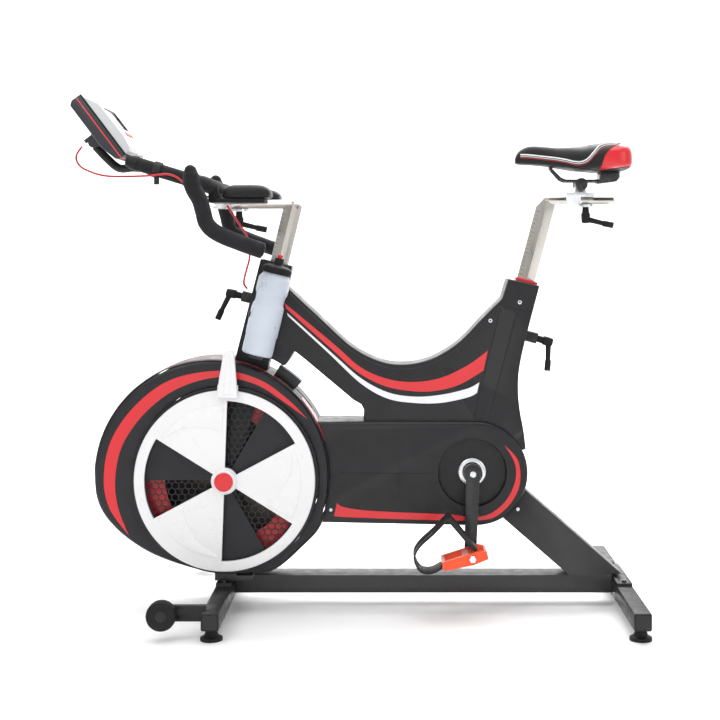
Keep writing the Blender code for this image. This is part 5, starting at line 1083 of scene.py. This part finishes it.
def make_bottle():
    top, r = BOTTLE_HEIGHT, BOTTLE_RADIUS
    line = smooth_through([(r - 0.0015, top - 0.012), (r, top - 0.018), (r, 0.148), (r - 0.0030, 0.137),
                           (r - 0.0038, 0.128),
                           (r - 0.0030, 0.119), (r, 0.108), (r, 0.052), (r - 0.0008, 0.046),
                           (r - 0.0014, 0.040),
                           (r - 0.0012, 0.012), (r - 0.0025, 0.003), (r - 0.007, 0.0)], 5)
    outer = [(r - 0.0075, top - 0.002), (r - 0.0060, top - 0.006)] + line + [(0.0, 0.0)]
    inner = [(0.0, 0.0025), (r - 0.0085, 0.0025), (r - 0.0040, 0.008), (r - 0.0030, 0.108),
             (r - 0.0062, 0.123),
             (r - 0.0062, 0.133), (r - 0.0030, 0.148), (r - 0.0030, top - 0.0185),
             (r - 0.0105, top - 0.009),
             (r - 0.0105, top - 0.002), (r - 0.0075, top - 0.002)]
    body = turned("bottle_shown", outer + inner, 72, "bottle_translucent")
    low = top - 0.0017
    profile = [(0.0, 0.2250), (0.0095, 0.2250), (0.0105, 0.2235), (0.0105, 0.2110), (0.0125, 0.2098),
               (0.0220, 0.2080),
               (0.0295, 0.2052), (0.0318, 0.2030), (0.0325, 0.1990), (0.0325, low), (0.0, low)]
    cap = turned("bottle_cap_shown", profile, 72, "black_rubber")
    for i in range(28):
        a = 2 * pi * i / 28
        rib = rod("rib", (0.0322 * cos(a), 0.0322 * sin(a), low + 0.0006),
                  (0.0322 * cos(a), 0.0322 * sin(a), 0.2010), 0.0013,
                  sides=10)
        bm = bmesh.new()
        bm.from_mesh(cap.data)
        bm.from_mesh(rib.data)
        bm.to_mesh(cap.data)
        bm.free()
        bpy.data.objects.remove(rib, do_unlink=True)
    nozzle = turned("bottle_nozzle", [(0.0, 0.2335), (0.0050, 0.2335), (0.0070, 0.2322), (0.0070, 0.2290),
                                      (0.0056, 0.2280),
                                      (0.0056, 0.2252), (0.0, 0.2252)], 40, "signal_red")
    for piece, slot, nodes in ((body, "bottle_translucent", ["bottle"]),
                               (cap, "black_rubber", ["bottle_cap"]),
                               (nozzle, "signal_red", [])):
        applied(piece, 40.0)
        leaned(BOTTLE, HEAD_LEAN, piece)
        settle(piece, "drink", slot, *nodes)


make_monitor_details()
make_bottle()


# ---------------------------------------------------------------- saddle
def make_saddle():
    """Padded saddle: a fine loft, then stitched panels, piping and inlays laid on its skin."""
    sections = smooth_through([
        (0.3745, 0.0100, 1.0205, 1.0310), (0.3790, 0.0160, 1.0175, 1.0430),
        (0.3920, 0.0200, 1.0160, 1.0545), (0.4114, 0.0222, 1.0150, 1.0600),
        (0.4400, 0.0265, 1.0125, 1.0592), (0.4663, 0.0340, 1.0085, 1.0570),
        (0.4950, 0.0460, 1.0040, 1.0572), (0.5212, 0.0620, 1.0010, 1.0588),
        (0.5480, 0.0780, 1.0002, 1.0632), (0.5761, 0.0890, 1.0000, 1.0672),
        (0.6000, 0.0922, 1.0000, 1.0685), (0.6200, 0.0865, 1.0010, 1.0660),
        (0.6335, 0.0700, 1.0055, 1.0580), (0.6400, 0.0430, 1.0140, 1.0460)], 6)
    bm = bmesh.new()
    count = 96
    rings = []
    for x, half, low, high in sections:
        ring = []
        for i in range(count):
            a = 2 * pi * i / count
            across, up = cos(a), sin(a)
            y = half * abs(across) ** 0.85 * (1 if across >= 0 else -1)
            fullness = 0.32 if up < 0 else 0.80
            z = (low + high) / 2 + (high - low) / 2 * abs(up) ** fullness * (1 if up >= 0 else -1)
            along = min(1.0, max(0.0, (x - 0.42) / 0.05)) * min(1.0, (0.645 - x) / 0.03)
            centre = max(0.0, 1 - abs(y) / 0.011) * (up > 0) * along
            ring.append(bm.verts.new((x, y, z - 0.0045 * centre ** 2 * (3 - 2 * centre))))
        rings.append(ring)
    for first, second in zip(rings, rings[1:]):
        for i in range(count):
            bm.faces.new((first[i], first[(i + 1) % count], second[(i + 1) % count], second[i]))
    bm.faces.new(rings[0][::-1])
    bm.faces.new(rings[-1])
    saddle = from_bmesh("saddle_cover", bm, "saddle_vinyl")
    modify(saddle, "SMOOTH", factor=0.5, iterations=3)
    modify(saddle, "SUBSURF", levels=1, render_levels=1)
    applied(saddle, 180.0)
    settle(saddle, "saddle_unit", "saddle_vinyl", "saddle")
    saddle.data.materials.append(MATERIAL["signal_red"])
    front = smooth_through([(0.6226, 1.0700), (0.6120, 1.0625), (0.5898, 1.0528), (0.5760, 1.0410),
                            (0.5680, 1.0273), (0.5609, 0.9991)], 6)

    def front_x(z):
        for (xa, za), (xb, zb) in zip(front, front[1:]):
            if zb <= z <= za:
                return xa + (xb - xa) * (za - z) / max(1e-9, za - zb)
        return front[0][0] if z > front[0][1] else front[-1][0]

    for polygon in saddle.data.polygons:
        x, y, z = polygon.center
        floor = 1.0010 + max(0.0, x - 0.5609) * 0.11
        if x > front_x(z) and z > floor and abs(y) > 0.010:
            polygon.material_index = 1
    return saddle, front


def on_skin(tree, x, z, side, lift):
    hit, normal, _, _ = tree.ray_cast(Vector((x, side * 0.3, z)), Vector((0.0, -side, 0.0)))
    return hit + normal * lift if hit else None


def wrapped(name, tree, line, side, radius, slot):
    points = [p for p in (on_skin(tree, x, z, side, radius * 0.15) for x, z in line) if p]
    piece = tube(name, points, radius, slot, 10)
    settle(applied(piece, 180.0), "saddle_unit", slot)


saddle, red_edge = make_saddle()
saddle_mesh = bmesh.new()
saddle_mesh.from_mesh(saddle.data)
SKIN = BVHTree.FromBMesh(saddle_mesh)
saddle_mesh.free()
SWOOSH = [(0.3860, 1.0390), (0.4050, 1.0385), (0.4350, 1.0350), (0.4650, 1.0310), (0.4880, 1.0265),
          (0.5060, 1.0215), (0.5200, 1.0205), (0.5330, 1.0260), (0.5460, 1.0400), (0.5580, 1.0535),
          (0.5700, 1.0600), (0.5860, 1.0620),
          (0.6020, 1.0600)]
for word, side in SIDES:
    for i, (drop, thick, slot) in enumerate(((0.0, 0.0016, "band_white"),
                                             (-0.0042, 0.0011, "monitor_silver"),
                                             (-0.0074, 0.0006, "signal_red"))):
        line = smooth_through([(x + (0.0012 * i if x > 0.52 else 0.0), z + drop) for x, z in SWOOSH], 6)
        wrapped("saddle_line_%s_%d" % (word, i), SKIN, line, side, thick, slot)
    wrapped("saddle_seam_" + word, SKIN, red_edge, side, 0.0008, "saddle_vinyl")
    hem = smooth_through([(0.3800, 1.0235), (0.4200, 1.0200), (0.4700, 1.0140), (0.5200, 1.0060),
                          (0.5609, 1.0015), (0.6000, 1.0050),
                          (0.6330, 1.0100)], 6)
    wrapped("saddle_hem_" + word, SKIN, hem, side, 0.0010, "saddle_vinyl")


# ---------------------------------------------------------------- cable
def make_cord(name, route):
    """Red brake and signal cable: one smooth tube along the CAD route."""
    points = smooth_through(route, 10)
    piece = tube(name, points, 0.0024, "cable_red", 14, ends=False)
    applied(piece, 180.0)
    length = sum((Vector(b) - Vector(a)).length for a, b in zip(points, points[1:]))
    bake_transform(piece)
    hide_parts(name.replace("_shown", ""))
    return length


FRONT_CABLE = [
    (-0.6262, -0.0140, 1.0585), (-0.6392, -0.0160, 1.0356), (-0.6285, -0.0280, 1.0134),
    (-0.5995, -0.0470, 0.9983), (-0.5592, -0.0700, 0.9875), (-0.5016, -0.0960, 0.9850),
    (-0.4520, -0.1100, 0.9860), (-0.4137, -0.1110, 0.9893), (-0.3880, -0.1110, 0.9800),
    (-0.3680, -0.1050, 0.9600), (-0.3480, -0.0880, 0.9470), (-0.3200, -0.0680, 0.9380),
    (-0.3000, -0.0605, 0.9350), (-0.2880, -0.0600, 0.9240)]
LOWER_CABLE = [
    (-0.2860, -0.0600, 0.9210), (-0.2600, -0.0590, 0.8820), (-0.2390, -0.0560, 0.8459),
    (-0.2352, -0.0480, 0.8057),
    (-0.2460, -0.0320, 0.7680), (-0.2520, -0.0180, 0.7430), (-0.2445, -0.0125, 0.7300)]
make_cord("cable_front_shown", FRONT_CABLE)
make_cord("cable_lower_shown", LOWER_CABLE)

# ---------------------------------------------------------------- whatever CAD node is still shown
for node, thing in NODES.items():
    if not thing.hide_render:
        slot = thing.data.materials[0].name.split(".")[0]
        thing.data.materials[0] = MATERIAL[slot]
